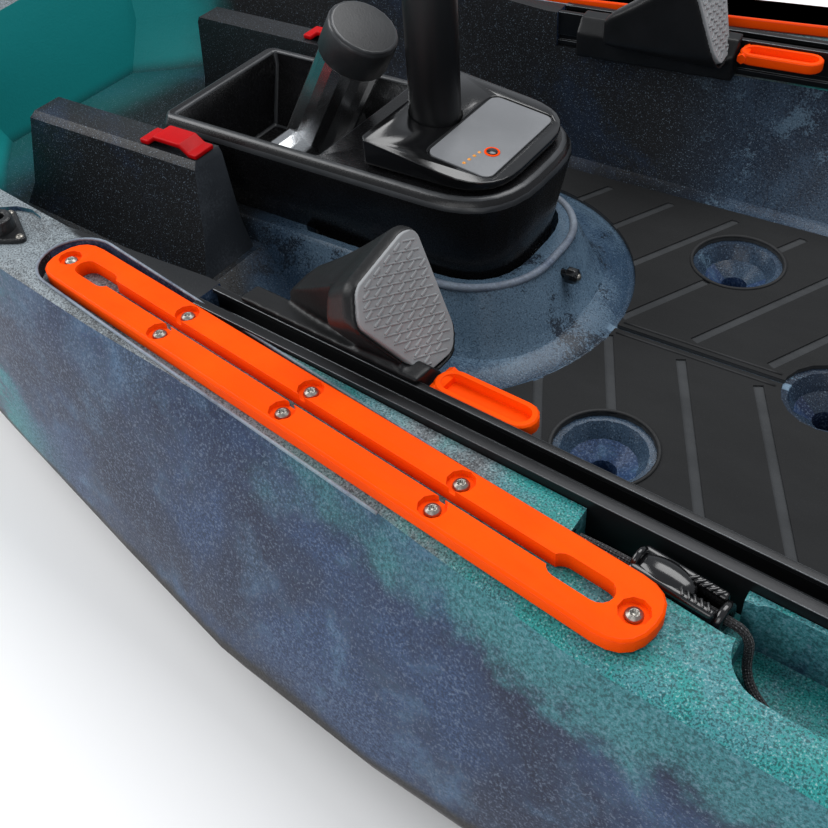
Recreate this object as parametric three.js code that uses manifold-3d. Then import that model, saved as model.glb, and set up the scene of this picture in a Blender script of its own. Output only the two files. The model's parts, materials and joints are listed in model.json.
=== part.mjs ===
// Fishing kayak: a moulded sit-on-top hull with gear tracks, foot braces, a folding seat and a drop-down motor.
// Millimetres. X points to the bow, Y to port and Z up, from the ground under the middle of the hull.
import * as THREE from 'three';
import { mergeVertices } from 'three/addons/utils/BufferGeometryUtils.js';
import Module from 'manifold-3d';

const wasm = await Module();
wasm.setup();

// Clearances
const seatGap = 0.3;
const runGap = 0.6;
const overrun = 30;
const weld = 0.001;

// Hull
const hullLength = 3660;
const hullBeam = 950;
const gunwaleHeight = 298;
const bowRise = 88;
const bowRiseStart = 450;
const sternRise = 44;
const sternRiseStart = 900;
const deckCrown = 22;
const keelTunnel = 13;
const floorHeight = 146;
const hullStations = 30;

// Outline of the hull in plan and in side view: share of half the length, share of half the beam or of the gunwale height
const planShares = [[-1, 0.15], [-0.965, 0.27], [-0.9, 0.43], [-0.8, 0.61], [-0.6, 0.83], [-0.4, 0.945], [-0.2, 0.99], [0, 1],
  [0.2, 0.99], [0.3, 0.973], [0.38, 0.949], [0.44, 0.905], [0.5, 0.845], [0.555, 0.79], [0.62, 0.727], [0.75, 0.565], [0.86, 0.405], [0.94, 0.245], [0.98, 0.13], [1, 0.045]];
const insetShares = [[-1, 0.02], [-0.6, 0.06], [-0.2, 0.045], [0.1, 0.045], [0.228, 0.061], [0.35, 0.122], [0.39, 0.131], [0.45, 0.113],
  [0.494, 0.08], [0.56, 0.042], [0.65, 0.03], [0.8, 0.045], [1, 0.012]];
const keelShares = [[-1, 0.56], [-0.96, 0.36], [-0.88, 0.16], [-0.76, 0.03], [-0.68, 0], [0.66, 0], [0.76, 0.03],
  [0.88, 0.19], [0.96, 0.46], [1, 0.76]];
const chineShares = [[-1, 0.74], [-0.9, 0.48], [-0.7, 0.3], [-0.5, 0.268], [0.5, 0.268], [0.64, 0.275], [0.8, 0.37],
  [0.92, 0.62], [1, 0.92]];
const crownShares = [[-1, 1], [-0.85, 1], [-0.5, 0.1], [0, 0], [0.6, 0.1], [0.8, 1], [1, 1]];

// Footwell: share of half the length, share of half the beam at the floor and at the rim
const wellShares = [[-0.361, 0.4, 0.62], [-0.335, 0.5, 0.72], [-0.29, 0.58, 0.77], [-0.2, 0.615, 0.785],
  [-0.11, 0.62, 0.77], [0, 0.6, 0.738], [0.12, 0.565, 0.69], [0.235, 0.533, 0.657], [0.35, 0.531, 0.62],
  [0.464, 0.54, 0.6], [0.47, 0.54, 0.643], [0.55, 0.49, 0.605], [0.6, 0.45, 0.588], [0.65, 0.395, 0.54], [0.69, 0.31, 0.45],
  [0.735, 0.15, 0.26]];
const wellLedge = 268;
const wellFillet = 15;
const rampAft = 915;
const rampMiddle = 975;
const rampFore = 1380;
const rampRise = 46;
const rampForeRise = 66;

// Tank well behind the seat
const tankFore = -800;
const tankAftInset = 270;
const tankFloor = 196;
const tankHalfFore = 268;
const tankHalfAft = 168;
const tankSlope = 26;
const tankCorner = 60;

// Scuppers
const scupperBore = 13;
const scupperThroat = 30;
const scupperBowl = 38;
const scupperMouth = 20;
const scupperFlare = 26;
const scupperBowlDepth = 24;
const scupperLip = 8;
const scupperX = 571;
const scupperY = 151;
const scupperMidX = 428;
const scupperAftX = -260;
const scupperAftY = 215;
const tankScupperX = -1180;
const tankScupperY = 130;

// Floor mats
const matThick = 4;
const matSeam = 2.5;
const matEdge = 235;
const matAft = 112;
const matFore = 868;
const matCornerRadius = 16;
const matCutRadius = 44;
const matGrooveWidth = 9;
const matGrooveDepth = 1.6;
const matGrooveStep = 72;
const matGrooveFirst = 633;
const matGrooveMargin = 15;
const matGrooveAngle = 27.4;

// Motor well and the collar round it
const motorX = 825;
const flangeRadius = 188;
const flangeHeight = 152;
const flangeRidge = 8;
const collarTop = 212;
const collarAft = 129;
const collarHalf = 93;
const collarCorner = 78;
const collarDraft = 22;
const collarRound = 9;
const collarGap = 6;
const collarCupFloor = 186;
const trunkRadius = 62;
const wellRadius = 182;
const wellRoof = 132;
const plinthBeyond = 14;
const plinthFoot = 22;
const plinthCorner = 20;

// Cheeks that hold the forward end of the motor, and the red release straps on them
const cheekAft = 997;
const cheekLength = 225;
const cheekInner = 108;
const cheekOuter = 146;
const cheekTop = 300;
const cheekFoot = 30;
const strapLength = 72;
const strapWidth = 25;
const strapThick = 5;
const strapRise = 7;
const strapSetback = 2;

// Motor unit
const housingReach = 269;
const housingAft = 104;
const housingHalf = 75;
const housingCorner = 60;
const housingLip = 285;
const housingFlare = 15;
const housingTop = 300;
const housingBevel = 6;
const coverAft = 105;
const coverReach = 31;
const coverHalf = 77;
const coverCorner = 50;
const coverHeight = 28;
const coverTailHeight = 10;
const coverBevel = 5;
const panelLength = 68;
const panelWidth = 122;
const panelThick = 1.6;
const panelSetback = 12;
const troughSetback = 80;
const troughEnd = 12;
const troughHalf = 78;
const troughFootHalf = 60;
const troughFloor = 221;
const columnRadius = 24;
const columnFoot = 128;
const dropTravel = 260;
const capRadius = 36;
const capHeight = 46;
const podHeight = 67;
const podRadius = 36;
const podNose = 146;
const podTail = 108;
const podNeck = 22;
const podNeckEase = 4;
const hubRadius = 17;
const hubLength = 34;
const spinnerLength = 18;
const propRadius = 55;
const bladeCount = 3;
const bladeRootShare = 0.92;
const bladeTipShare = 0.6;
const bladeThick = 3.2;
const bladeRootAngle = 52;
const bladeTipAngle = 24;
const leverReach = 150;
const leverPivotZ = 256;
const leverRadius = 31;
const leverLength = 150;
const leverLean = 30;
const leverBoss = 26;
const leverBossHalf = 56;
const leverPin = 8;
const leverPinHalf = 77;
const leverCapLength = 34;
const leverCapWall = 3;

// Spring pin in the side of the collar
const lockPinHeight = 192;
const lockPinRadius = 4;
const lockKnobRadius = 8;
const lockKnobLength = 12;
const lockPinReach = 20;
const lockTipLength = 3;

// Gear tracks
const trackAngle = 4.8;
const trackX = 415;
const trackInset = 108.48;
const trackFore = 848;
const trackAft = -196;
const trackWidth = 27;
const trackHeight = 37;
const trackRise = 8;
const trackInnerLip = 6;
const trackSlot = 13;
const trackLipDepth = 4;
const trackCavityDepth = 15;
const trackCavityUndercut = 3;
const trackSideNotch = 3;
const trackSideNotchHeight = 6;
const trackNotchClear = 11;

// Slotted plates on the gunwales
const plateAhead = 207;
const plateInset = 28.52;
const plateAngle = 9.08;
const plateLength = 568;
const plateCorner = 25;
const plateWidth = 50;
const plateThick = 12;
const plateEase = 1.6;
const plateBedClear = 7;
const plateScrewPitch = 134.8;
const plateScrewRow = 13.3;
const plateSinkRadius = 9.6;
const plateSinkDepth = 4.5;
const plateSlotWidth = 9;
const plateSlotEnd = 256;
const platePocketLength = 44;
const platePocketWidth = 18;

// Round mounting bases forward of the plates
const baseX = 1052;
const baseInset = 27.81;
const baseRadius = 33;
const baseThick = 9;
const baseSunk = 3;
const baseBossRadius = 12;
const baseBossHeight = 7;
const baseEar = 12;
const baseEarOut = 27;

// Cord channel and tackle pocket behind the plate, and the cleat in the channel
const channelFore = 501;
const channelLength = 110;
const channelWall = 5;
const channelNotch = 26;
const channelFloor = 274;
const channelInset = 3;
const channelForeWidth = 28.2;
const channelAftWidth = 38.1;
const pocketFloor = 255;
const pocketAft = 130;
const pocketCornerBack = 14;
const pocketOuterFore = 393;
const pocketOuter = 414;
const pocketWeb = 4;
const cleatSetback = 70;
const cleatOut = 32.85;
const cleatAngle = -9.5;
const cleatLength = 64;
const cleatWidth = 22;
const cleatBaseThick = 10;
const cleatJawLength = 40;
const cleatJawThick = 5;
const cleatJawHeight = 13;
const cleatArchTube = 3;
const cleatArchRadius = 8.5;
const cleatEyeRadius = 8;
const cleatEyeTube = 3;
const cleatEyeOut = 30;
const cleatHump = 6;

// Pull cord: its route from the gunwale, through the cleat and eye, over the end of the block and into the pocket
const cordRadius = 2.9;
const cordSides = 8;
const cordStep = 12.5;
const knotRadius = 6.5;
// Way of the cord from the channel's hole to its knot, measured from the middle of the channel's aft end at the gunwale
const cordWay = [[106, 22.08, -6.5], [87, 22.98, -6.5], [65, 25.28, -6.5], [40, 29.48, -6.5], [20, 32.68, -6.3],
  [8.5, 34.28, -6.4], [0, 34.48, -8.8], [-4.8, 34.68, -15.5], [-6.4, 35.68, -25], [-7.8, 38.48, -33],
  [-12.5, 44.48, -37.8], [-22, 52.48, -39.4], [-35, 60.48, -39.6], [-53, 64.98, -39.6],
  [-75, 63.48, -39.6], [-99, 55.48, -39.6], [-125, 52.48, -39.6], [-151, 58.48, -39.4],
  [-165, 62.98, -37.8], [-175, 65.98, -35.8]];

// Foot braces: a carriage that slides on the track, a foot pad and a release lever
const braceX = 655;
const carriageFore = 818;
const carriageAft = 646;
const carriageWidth = 24;
const carriageSink = 4;
const carriageDrop = 31;
const carriageGap = 0.6;
const carriageLip = 5;
const bodyFore = 792;
const bodyRim = 3;
const bodyShares = [[0, 1, 1], [0.34, 0.97, 0.9], [0.7, 0.88, 0.64], [0.88, 0.76, 0.42], [1, 0.62, 0.16]];
const padTilt = 22;
const padWidth = 78;
const padHeight = 97;
const padThick = 9;
const padInner = 69;
const padSink = 11;
const padShares = [[0.12, 0], [0.53, 0], [1, 0.64], [0.87, 0.87], [0.14, 1], [0, 0.95], [0, 0.15]];
const padRibHeight = 1.6;
const padRibWidth = 2.6;
const padRibLength = 11;
const padRibPitch = 17;
const padRibRow = 15;
const padRibMargin = 9;
const releaseLength = 82;
const releaseWidth = 27;
const releaseThick = 11;
const releaseWall = 5;
const releaseWeb = 3;
const releaseHub = 5;
const releaseSink = 2;
const bracePin = 2.4;

// Seat
const seatX = -186;
const seatLength = 420;
const seatWidth = 440;
const seatRail = 11;
const seatHeight = 226;
const seatCorner = 48;
const footRadius = 17;
const footHeight = 12;
const cushionThick = 44;
const cushionGap = 0.3;
const cushionCorner = 70;
const cushionSides = 18;
const cushionPanelSteps = 5;
const cushionEndShare = 0.8;
const cushionCornerShare = 0.96;
const cushionPuffShare = 0.6;
const cushionSeamShare = 0.62;
const cushionEdgeShare = 0.45;
const seatChannels = 3;
const backChannels = 4;
const backHeight = 440;
const backLean = 14;
const backRail = 10;
const backHingeBack = 22;
const backHingeRise = 40;
const backCushionThick = 36;
const hingeEarThick = 6;
const hingeEarWidth = 30;
const hingePin = 5;

// Bow hatch
const hatchInset = 294;
const hatchHalfLength = 150;
const hatchHalfWidth = 112;
const coamingTop = 400;
const coamingWall = 13;
const hatchPocketFloor = 236;
const lidOverhang = 7;
const lidThick = 15;
const lidEase = 4;
const lidPlugDepth = 11;
const lidPlugWall = 6;
const lidPlugGap = 2.5;
const lidDome = 5;
const lidDomeInset = 34;
const hingeBarrel = 7;
const hingeBarrelHalf = 27;
const hingeLift = 9;
const hingeFootDrop = 20;
const hingeFootThick = 10;
const hingeEar = 7;
const dogLength = 46;
const dogWidth = 17;
const dogThick = 6;
const dogPostRadius = 11;
const dogAlong = 70;
const dogOut = 17;
const dogHub = 7;

// Carry handles
const gripRadius = 11;
const gripHalf = 52;
const gripRise = 56;
const gripFootRadius = 15;
const gripFootRise = 5;
const gripFootSunk = 1;
const bowHandleInset = 82;
const sternHandleInset = 140;
const sideHandleX = -20;
const bailRadius = 5;
const bailHalf = 76;
const bailDrop = 62;
const bailGripRadius = 10;
const bailGripHalf = 46;
const bailPivotZ = 236;
const bailStand = 13;
const earThick = 8;
const earHeight = 30;
const earDepth = 22;

// Rod holders behind the seat
const rodX = -724;
const rodInset = 86.72;
const rodTilt = 24;
const rodBore = 22;
const rodWall = 3;
const rodFlange = 35;
const rodFlangeThick = 5;
const rodDepth = 170;
const rodFloor = 5;

// Stern drain plug
const plugHeight = 262;
const plugRadius = 13;
const plugRecess = 20;
const plugSink = 12;
const plugHead = 9;
const plugGripWidth = 5;

// Derived sizes
const halfLength = hullLength / 2;
const bowHandleX = halfLength - bowHandleInset;
const sternHandleX = sternHandleInset - halfLength;
const hatchX = halfLength - hatchInset;
const tankAft = tankAftInset - halfLength;
const halfBeam = hullBeam / 2;
const trackTop = gunwaleHeight + trackRise;
const carriageTop = trackTop - carriageSink;
const padFoot = trackTop - padSink;
const releaseTop = trackTop - releaseSink;
const plateX = channelFore + plateAhead;
const X = new THREE.Vector3(1, 0, 0);
const Y = new THREE.Vector3(0, 1, 0);
const Z = new THREE.Vector3(0, 0, 1);
const radians = THREE.MathUtils.degToRad;

// Smooth value of a share table at a place, without overshoot between its rows
function along(table, place, column = 1) {
  const last = table.length - 1;
  if (place <= table[0][0]) return table[0][column];
  if (place >= table[last][0]) return table[last][column];
  const row = table.findIndex((entry) => entry[0] > place) - 1;
  const slope = (i) => (table[i + 1][column] - table[i][column]) / (table[i + 1][0] - table[i][0]);
  const tangent = (i) => {
    if (i === 0) return slope(0);
    if (i === last) return slope(last - 1);
    const before = slope(i - 1);
    const after = slope(i);
    return before * after <= 0 ? 0 : (2 * before * after) / (before + after);
  };
  const span = table[row + 1][0] - table[row][0];
  const t = (place - table[row][0]) / span;
  const t2 = t * t;
  const t3 = t2 * t;
  return table[row][column] * (2 * t3 - 3 * t2 + 1) + tangent(row) * span * (t3 - 2 * t2 + t)
    + table[row + 1][column] * (3 * t2 - 2 * t3) + tangent(row + 1) * span * (t3 - t2);
}

// A closed geometry as a solid, with its vertices merged and its faces turned outward
function solid(geometry) {
  const bare = new THREE.BufferGeometry();
  bare.setAttribute('position', geometry.getAttribute('position').clone());
  if (geometry.index) bare.setIndex(geometry.index.clone());
  const merged = mergeVertices(bare, weld);
  const place = merged.getAttribute('position').array;
  const index = Array.from(merged.index.array);
  const faces = [];
  let volume = 0;
  for (let i = 0; i < index.length; i += 3) {
    const [a, b, c] = index.slice(i, i + 3);
    if (a === b || b === c || c === a) continue;
    faces.push(a, b, c);
    const [p, q, r] = [a, b, c].map((v) => new THREE.Vector3().fromArray(place, 3 * v));
    volume += p.dot(q.cross(r));
  }
  if (volume < 0) {
    for (let i = 0; i < faces.length; i += 3) [faces[i + 1], faces[i + 2]] = [faces[i + 2], faces[i + 1]];
  }
  const mesh = new wasm.Mesh({ numProp: 3, vertProperties: new Float32Array(place), triVerts: new Uint32Array(faces) });
  return new wasm.Manifold(mesh);
}

function geometryOf(body) {
  const mesh = body.getMesh();
  const geometry = new THREE.BufferGeometry();
  geometry.setAttribute('position', new THREE.BufferAttribute(new Float32Array(mesh.vertProperties), 3));
  geometry.setIndex(new THREE.BufferAttribute(new Uint32Array(mesh.triVerts), 1));
  geometry.computeVertexNormals();
  return geometry;
}

const join = (...bodies) => bodies.reduce((sum, body) => sum.add(body));
const cut = (body, ...tools) => tools.reduce((rest, tool) => rest.subtract(tool), body);

// The largest body of a cut, without slivers that the tools left beside it
const largest = (body) => body.decompose().reduce((most, part) => (part.volume() > most.volume() ? part : most));

// The other side's geometry
function mirrored(geometry) {
  const copy = geometry.clone();
  copy.scale(1, -1, 1);
  const faces = Array.from(geometry.index.array);
  for (let i = 0; i < faces.length; i += 3) [faces[i + 1], faces[i + 2]] = [faces[i + 2], faces[i + 1]];
  copy.setIndex(faces);
  copy.computeVertexNormals();
  return copy;
}

// Skin through rings of points, closed at both ends
function loft(rings) {
  const count = rings[0].length;
  const place = rings.flat().flatMap((point) => point.toArray());
  const faces = [];
  for (let r = 0; r < rings.length - 1; r += 1) {
    for (let i = 0; i < count; i += 1) {
      const j = (i + 1) % count;
      const a = r * count + i;
      const b = r * count + j;
      faces.push(a, b, a + count, b, b + count, a + count);
    }
  }
  [0, rings.length - 1].forEach((r) => {
    const centre = rings[r].reduce((sum, point) => sum.add(point), new THREE.Vector3()).divideScalar(count);
    const tip = place.length / 3;
    place.push(...centre.toArray());
    for (let i = 0; i < count; i += 1) {
      const a = r * count + i;
      const b = r * count + (i + 1) % count;
      faces.push(...(r === 0 ? [tip, b, a] : [tip, a, b]));
    }
  });
  const geometry = new THREE.BufferGeometry();
  geometry.setAttribute('position', new THREE.Float32BufferAttribute(place, 3));
  geometry.setIndex(faces);
  return solid(geometry);
}

// Outline through points, each corner rounded by the radius
function outline(points, radius = 0) {
  const path = points.map(([x, y]) => new THREE.Vector2(x, y));
  const shape = new THREE.Shape();
  path.forEach((corner, i) => {
    const before = path[(i + path.length - 1) % path.length];
    const after = path[(i + 1) % path.length];
    const toBefore = before.clone().sub(corner);
    const toAfter = after.clone().sub(corner);
    const reach = Math.min(radius, toBefore.length() / 2, toAfter.length() / 2);
    const start = corner.clone().add(toBefore.setLength(reach));
    const end = corner.clone().add(toAfter.setLength(reach));
    if (i === 0) shape.moveTo(start.x, start.y);
    else shape.lineTo(start.x, start.y);
    if (radius > 0) shape.quadraticCurveTo(corner.x, corner.y, end.x, end.y);
  });
  shape.closePath();
  return shape;
}

const rectangle = (x0, x1, y0, y1, radius = 0) => outline([[x0, y0], [x1, y0], [x1, y1], [x0, y1]], radius);

function stadium(length, width) {
  const run = (length - width) / 2;
  const shape = new THREE.Shape();
  shape.absarc(run, 0, width / 2, -Math.PI / 2, Math.PI / 2, false);
  shape.absarc(-run, 0, width / 2, Math.PI / 2, (3 * Math.PI) / 2, false);
  shape.closePath();
  return shape;
}

function ellipse(halfX, halfY) {
  const shape = new THREE.Shape();
  shape.absellipse(0, 0, halfX, halfY, 0, 2 * Math.PI, false, 0);
  return shape;
}

// Upright prism from one height to another, its edges eased where asked
function prism(shape, bottom, top, ease = 0, curveSegments = 8) {
  const geometry = new THREE.ExtrudeGeometry(shape, {
    depth: top - bottom - 2 * ease, bevelEnabled: ease > 0, bevelThickness: ease, bevelSize: ease,
    bevelOffset: -ease, bevelSegments: 1, curveSegments,
  });
  return solid(geometry.translate(0, 0, bottom + ease));
}

// Turned form: a profile of radius and height round the Z axis
function turned(profile, segments) {
  const points = profile.map(([radius, height]) => new THREE.Vector2(radius, height));
  return solid(new THREE.LatheGeometry(points, segments).rotateX(Math.PI / 2));
}

function rod(radius, bottom, top, segments = 16) {
  return turned([[0, bottom], [radius, bottom], [radius, top], [0, top]], segments);
}

// Solid moved by a turn about the axes and a shift
function moved(body, shift, turn = [0, 0, 0]) {
  const geometry = geometryOf(body);
  geometry.applyMatrix4(new THREE.Matrix4().makeRotationFromEuler(new THREE.Euler(...turn)));
  return solid(geometry.translate(...shift));
}

// Section of width and height run along X
function alongX(shape, start, end) {
  const geometry = new THREE.ExtrudeGeometry(shape, { depth: end - start, bevelEnabled: false, curveSegments: 6 });
  geometry.applyMatrix4(new THREE.Matrix4().makeBasis(Y, Z, X));
  return solid(geometry.translate(start, 0, 0));
}

// Section in length and height run across from starboard to port
function acrossY(shape, start, end) {
  const geometry = new THREE.ExtrudeGeometry(shape, { depth: end - start, bevelEnabled: false, curveSegments: 6 });
  geometry.applyMatrix4(new THREE.Matrix4().makeBasis(X, Z, Y.clone().negate()));
  return solid(geometry.translate(0, end, 0));
}

// Round tube along a curve
function tube(curve, radius, sides, steps) {
  const section = new THREE.Shape();
  section.absarc(0, 0, radius, 0, 2 * Math.PI, false);
  return solid(new THREE.ExtrudeGeometry(section, { extrudePath: curve, steps, bevelEnabled: false, curveSegments: sides / 2 }));
}

// Polyline with its corners rounded into a path for a tube
function bentPath(points, radius) {
  const path = new THREE.CurvePath();
  let from = points[0].clone();
  for (let i = 1; i < points.length - 1; i += 1) {
    const back = points[i - 1].clone().sub(points[i]);
    const onward = points[i + 1].clone().sub(points[i]);
    const reach = Math.min(radius, back.length() / 2, onward.length() / 2);
    const start = points[i].clone().add(back.setLength(reach));
    const end = points[i].clone().add(onward.setLength(reach));
    path.add(new THREE.LineCurve3(from, start));
    path.add(new THREE.QuadraticBezierCurve3(start, points[i].clone(), end));
    from = end;
  }
  path.add(new THREE.LineCurve3(from, points[points.length - 1].clone()));
  return path;
}

const kayak = new THREE.Group();
const finishes = {
  hull: { color: 0x2f4f5e, roughness: 0.55, metalness: 0 },
  mat: { color: 0x1d1e1f, roughness: 0.95, metalness: 0 },
  track: { color: 0x17181a, roughness: 0.4, metalness: 0.6 },
  plate: { color: 0xff5a00, roughness: 0.45, metalness: 0 },
  moulding: { color: 0x1b1b1d, roughness: 0.5, metalness: 0 },
  gloss: { color: 0x0b0b0c, roughness: 0.15, metalness: 0 },
  pad: { color: 0x6d6f71, roughness: 0.7, metalness: 0 },
  silver: { color: 0xc9cbcc, roughness: 0.3, metalness: 1 },
  red: { color: 0xb3121a, roughness: 0.5, metalness: 0 },
  cord: { color: 0x0e0e0f, roughness: 0.85, metalness: 0 },
  fabric: { color: 0x2b2d30, roughness: 0.9, metalness: 0 },
  prop: { color: 0x222325, roughness: 0.45, metalness: 0 },
};

function place(name, body, finish, position = [0, 0, 0], rotation = [0, 0, 0], parent = kayak) {
  const mesh = new THREE.Mesh(body.isBufferGeometry ? body : geometryOf(body), new THREE.MeshStandardMaterial(finishes[finish]));
  mesh.name = name;
  mesh.position.set(...position);
  mesh.rotation.set(...rotation);
  parent.add(mesh);
  return mesh;
}

// The same piece on both sides, mirrored across the centreline
function placePair(name, body, finish, position = [0, 0, 0], rotation = [0, 0, 0]) {
  const geometry = geometryOf(body);
  place(`${name}_port`, geometry, finish, position, rotation);
  place(`${name}_starboard`, mirrored(geometry), finish, [position[0], -position[1], position[2]],
    [-rotation[0], rotation[1], -rotation[2]]);
}

const pair = (body) => join(body, solid(mirrored(geometryOf(body))));

// Height of the gunwale and the deck, and half widths of the hull, at a place along it
function gunwaleAt(x) {
  const fore = Math.max(0, (x - bowRiseStart) / (halfLength - bowRiseStart));
  const aft = Math.max(0, (-x - sternRiseStart) / (halfLength - sternRiseStart));
  return gunwaleHeight + bowRise * fore * fore + sternRise * aft * aft;
}

const chineHalf = (x) => halfBeam * along(planShares, x / halfLength);
const gunwaleHalf = (x) => chineHalf(x) - halfBeam * along(insetShares, x / halfLength);
const trackY = gunwaleHalf(trackX) - trackInset;
const plateY = gunwaleHalf(plateX) - plateInset;
const baseY = gunwaleHalf(baseX) - baseInset;
const rodY = gunwaleHalf(rodX) - rodInset;
const trackCentre = (x) => trackY - Math.tan(radians(trackAngle)) * (x - trackX);
const trackHalf = trackWidth / 2 / Math.cos(radians(trackAngle));

const lipDrop = 5;
const lipRound = 13;
const sideBulge = 4;
const keelFlatShare = 0.16;
const tunnelShare = 0.3;
const tunnelOuterShare = 0.46;
const bilgeInnerShare = 0.6;
const bilgeOuterShare = 0.86;
const bilgeShare = 0.965;
const bilgeRiseShare = 0.4;
const bilgeFootShare = 0.03;
const sideLowShare = 0.35;
const sideHighShare = 0.8;
const crownShoulderShare = 0.6;
const crownShoulderDropShare = 0.4;

// Height of the deck at a place along and across it
function deckAt(x, y) {
  const rim = gunwaleHalf(x);
  const shoulder = rim * crownShoulderShare;
  const crown = deckCrown * along(crownShares, x / halfLength);
  const drop = y < shoulder ? (crownShoulderDropShare * y) / shoulder
    : crownShoulderDropShare + ((1 - crownShoulderDropShare) * (y - shoulder)) / Math.max(rim - lipRound - shoulder, seatGap);
  return gunwaleAt(x) + crown * (1 - Math.min(drop, 1));
}

function hullRing(x) {
  const share = x / halfLength;
  const half = chineHalf(x);
  const rim = gunwaleHalf(x);
  const keel = gunwaleHeight * along(keelShares, share);
  const chine = gunwaleHeight * along(chineShares, share);
  const top = gunwaleAt(x);
  const crown = deckCrown * along(crownShares, share);
  const depth = chine - keel;
  const side = top - chine;
  const port = [
    [0, keel], [keelFlatShare * half, keel],
    [tunnelShare * half, keel + Math.min(keelTunnel, depth * bilgeRiseShare)],
    [tunnelOuterShare * half, keel + Math.min(keelTunnel, depth * bilgeRiseShare)],
    [bilgeInnerShare * half, keel + depth * bilgeFootShare],
    [bilgeOuterShare * half, keel + depth * bilgeFootShare * 2],
    [bilgeShare * half, keel + depth * bilgeRiseShare], [half, chine],
    [half - (half - rim) * sideLowShare + Math.min(sideBulge, side * sideLowShare), chine + side * sideLowShare],
    [half - (half - rim) * sideHighShare + Math.min(sideBulge, side * sideLowShare), chine + side * sideHighShare],
    [rim, top - Math.min(lipDrop, side * sideLowShare)], [Math.max(rim - lipRound, rim * sideHighShare), top],
    [rim * crownShoulderShare, top + crown * (1 - crownShoulderDropShare)], [0, top + crown],
  ];
  const starboard = port.slice(1, -1).reverse().map(([y, z]) => [-y, z]);
  return [...port, ...starboard].map(([y, z]) => new THREE.Vector3(x, y, z));
}

function hullShell() {
  const rings = [];
  for (let i = 0; i <= hullStations; i += 1) {
    const share = Math.sin((Math.PI / 2) * (-1 + (2 * i) / hullStations));
    const even = -1 + (2 * i) / hullStations;
    rings.push(hullRing(halfLength * (share + even) / 2));
  }
  return loft(rings);
}

// The open footwell, from its floor up through the deck
function footwell() {
  const rings = wellShares.map(([place, floorShare, rimShare]) => {
    const x = place * halfLength;
    const onTrack = x > trackAft - overrun && x < trackFore + overrun;
    const rim = onTrack ? trackCentre(x) - trackHalf - trackNotchClear / 4 : rimShare * halfBeam;
    const floor = floorShare * halfBeam;
    const port = [[0, floorHeight], [floor - wellFillet, floorHeight], [floor, floorHeight + wellFillet / 2],
      [rim, wellLedge], [rim, gunwaleHeight + bowRise + overrun], [0, gunwaleHeight + bowRise + overrun]];
    const starboard = port.slice(1, -1).reverse().map(([y, z]) => [-y, z]);
    return [...port, ...starboard].map(([y, z]) => new THREE.Vector3(x, y, z));
  });
  const ramp = acrossY(outline([[rampAft, floorHeight - overrun], [rampFore, floorHeight - overrun],
    [rampFore, floorHeight + rampForeRise], [rampMiddle, floorHeight + rampRise], [rampAft, floorHeight]], 0), -halfBeam, halfBeam);
  return cut(loft(rings), ramp);
}

// Tank well with sloped walls
function tankWell() {
  const level = (z, grow) => {
    const shape = outline([[tankFore + grow, tankHalfFore + grow], [tankFore + grow, -tankHalfFore - grow],
      [tankAft - grow, -tankHalfAft - grow], [tankAft - grow, tankHalfAft + grow]], tankCorner);
    return shape.getPoints(4).slice(0, -1).map((point) => new THREE.Vector3(point.x, point.y, z));
  };
  return loft([level(tankFloor, 0), level(gunwaleHeight + sternRise + deckCrown + overrun, tankSlope)]);
}

const bowlSides = 16;
const drainSides = 8;
const throatShare = 0.6;

// Drain through the hull: dished where the mats are, and a plain cone elsewhere
function scupper(floor, dished = true) {
  const profile = [[0, -overrun], [scupperMouth, -overrun], [scupperMouth, scupperLip], [scupperBore, scupperFlare],
    [scupperBore, floor - scupperBowlDepth]];
  if (dished) profile.push([scupperThroat, floor - scupperBowlDepth * throatShare], [scupperBowl, floor], [scupperBowl, floor + overrun]);
  else profile.push([scupperThroat, floor + seatGap], [scupperThroat, floor + overrun]);
  profile.push([0, floor + overrun]);
  return turned(profile, dished ? bowlSides : drainSides);
}

// Places along the hull that follow from the motor, the cheeks and the cord channel
const plinthFore = motorX + housingReach + plinthBeyond;
const collarX = motorX - collarAft;
const housingX = motorX - housingAft;
const housingFore = motorX + housingReach;
const leverX = motorX + leverReach;
const lockPinX = collarX - (collarDraft * (collarTop - lockPinHeight)) / (collarTop - flangeHeight);
const channelAft = channelFore - channelLength;
const cleatX = channelFore - cleatSetback;
const cleatY = trackCentre(cleatX) + cleatOut;
const cordRoute = cordWay.map(([x, y, z]) => [channelAft + x, trackCentre(channelAft) + y, gunwaleHeight + z]);

// Plan that is round at its aft end and nearly square ahead
function roundTail(aft, fore, half, corner, foreCorner = 0) {
  const shape = new THREE.Shape();
  shape.moveTo(fore, -half + foreCorner);
  shape.lineTo(fore, half - foreCorner);
  shape.lineTo(fore - foreCorner, half);
  shape.lineTo(aft + corner, half);
  shape.quadraticCurveTo(aft, half, aft, half - corner);
  shape.lineTo(aft, -half + corner);
  shape.quadraticCurveTo(aft, -half, aft + corner, -half);
  shape.lineTo(fore - foreCorner, -half);
  shape.closePath();
  return shape;
}

// The same plan as a ring of points at a height
const tailRing = (z, ...plan) => roundTail(...plan).getPoints(7).slice(0, -1).map((point) => new THREE.Vector3(point.x, point.y, z));

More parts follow.
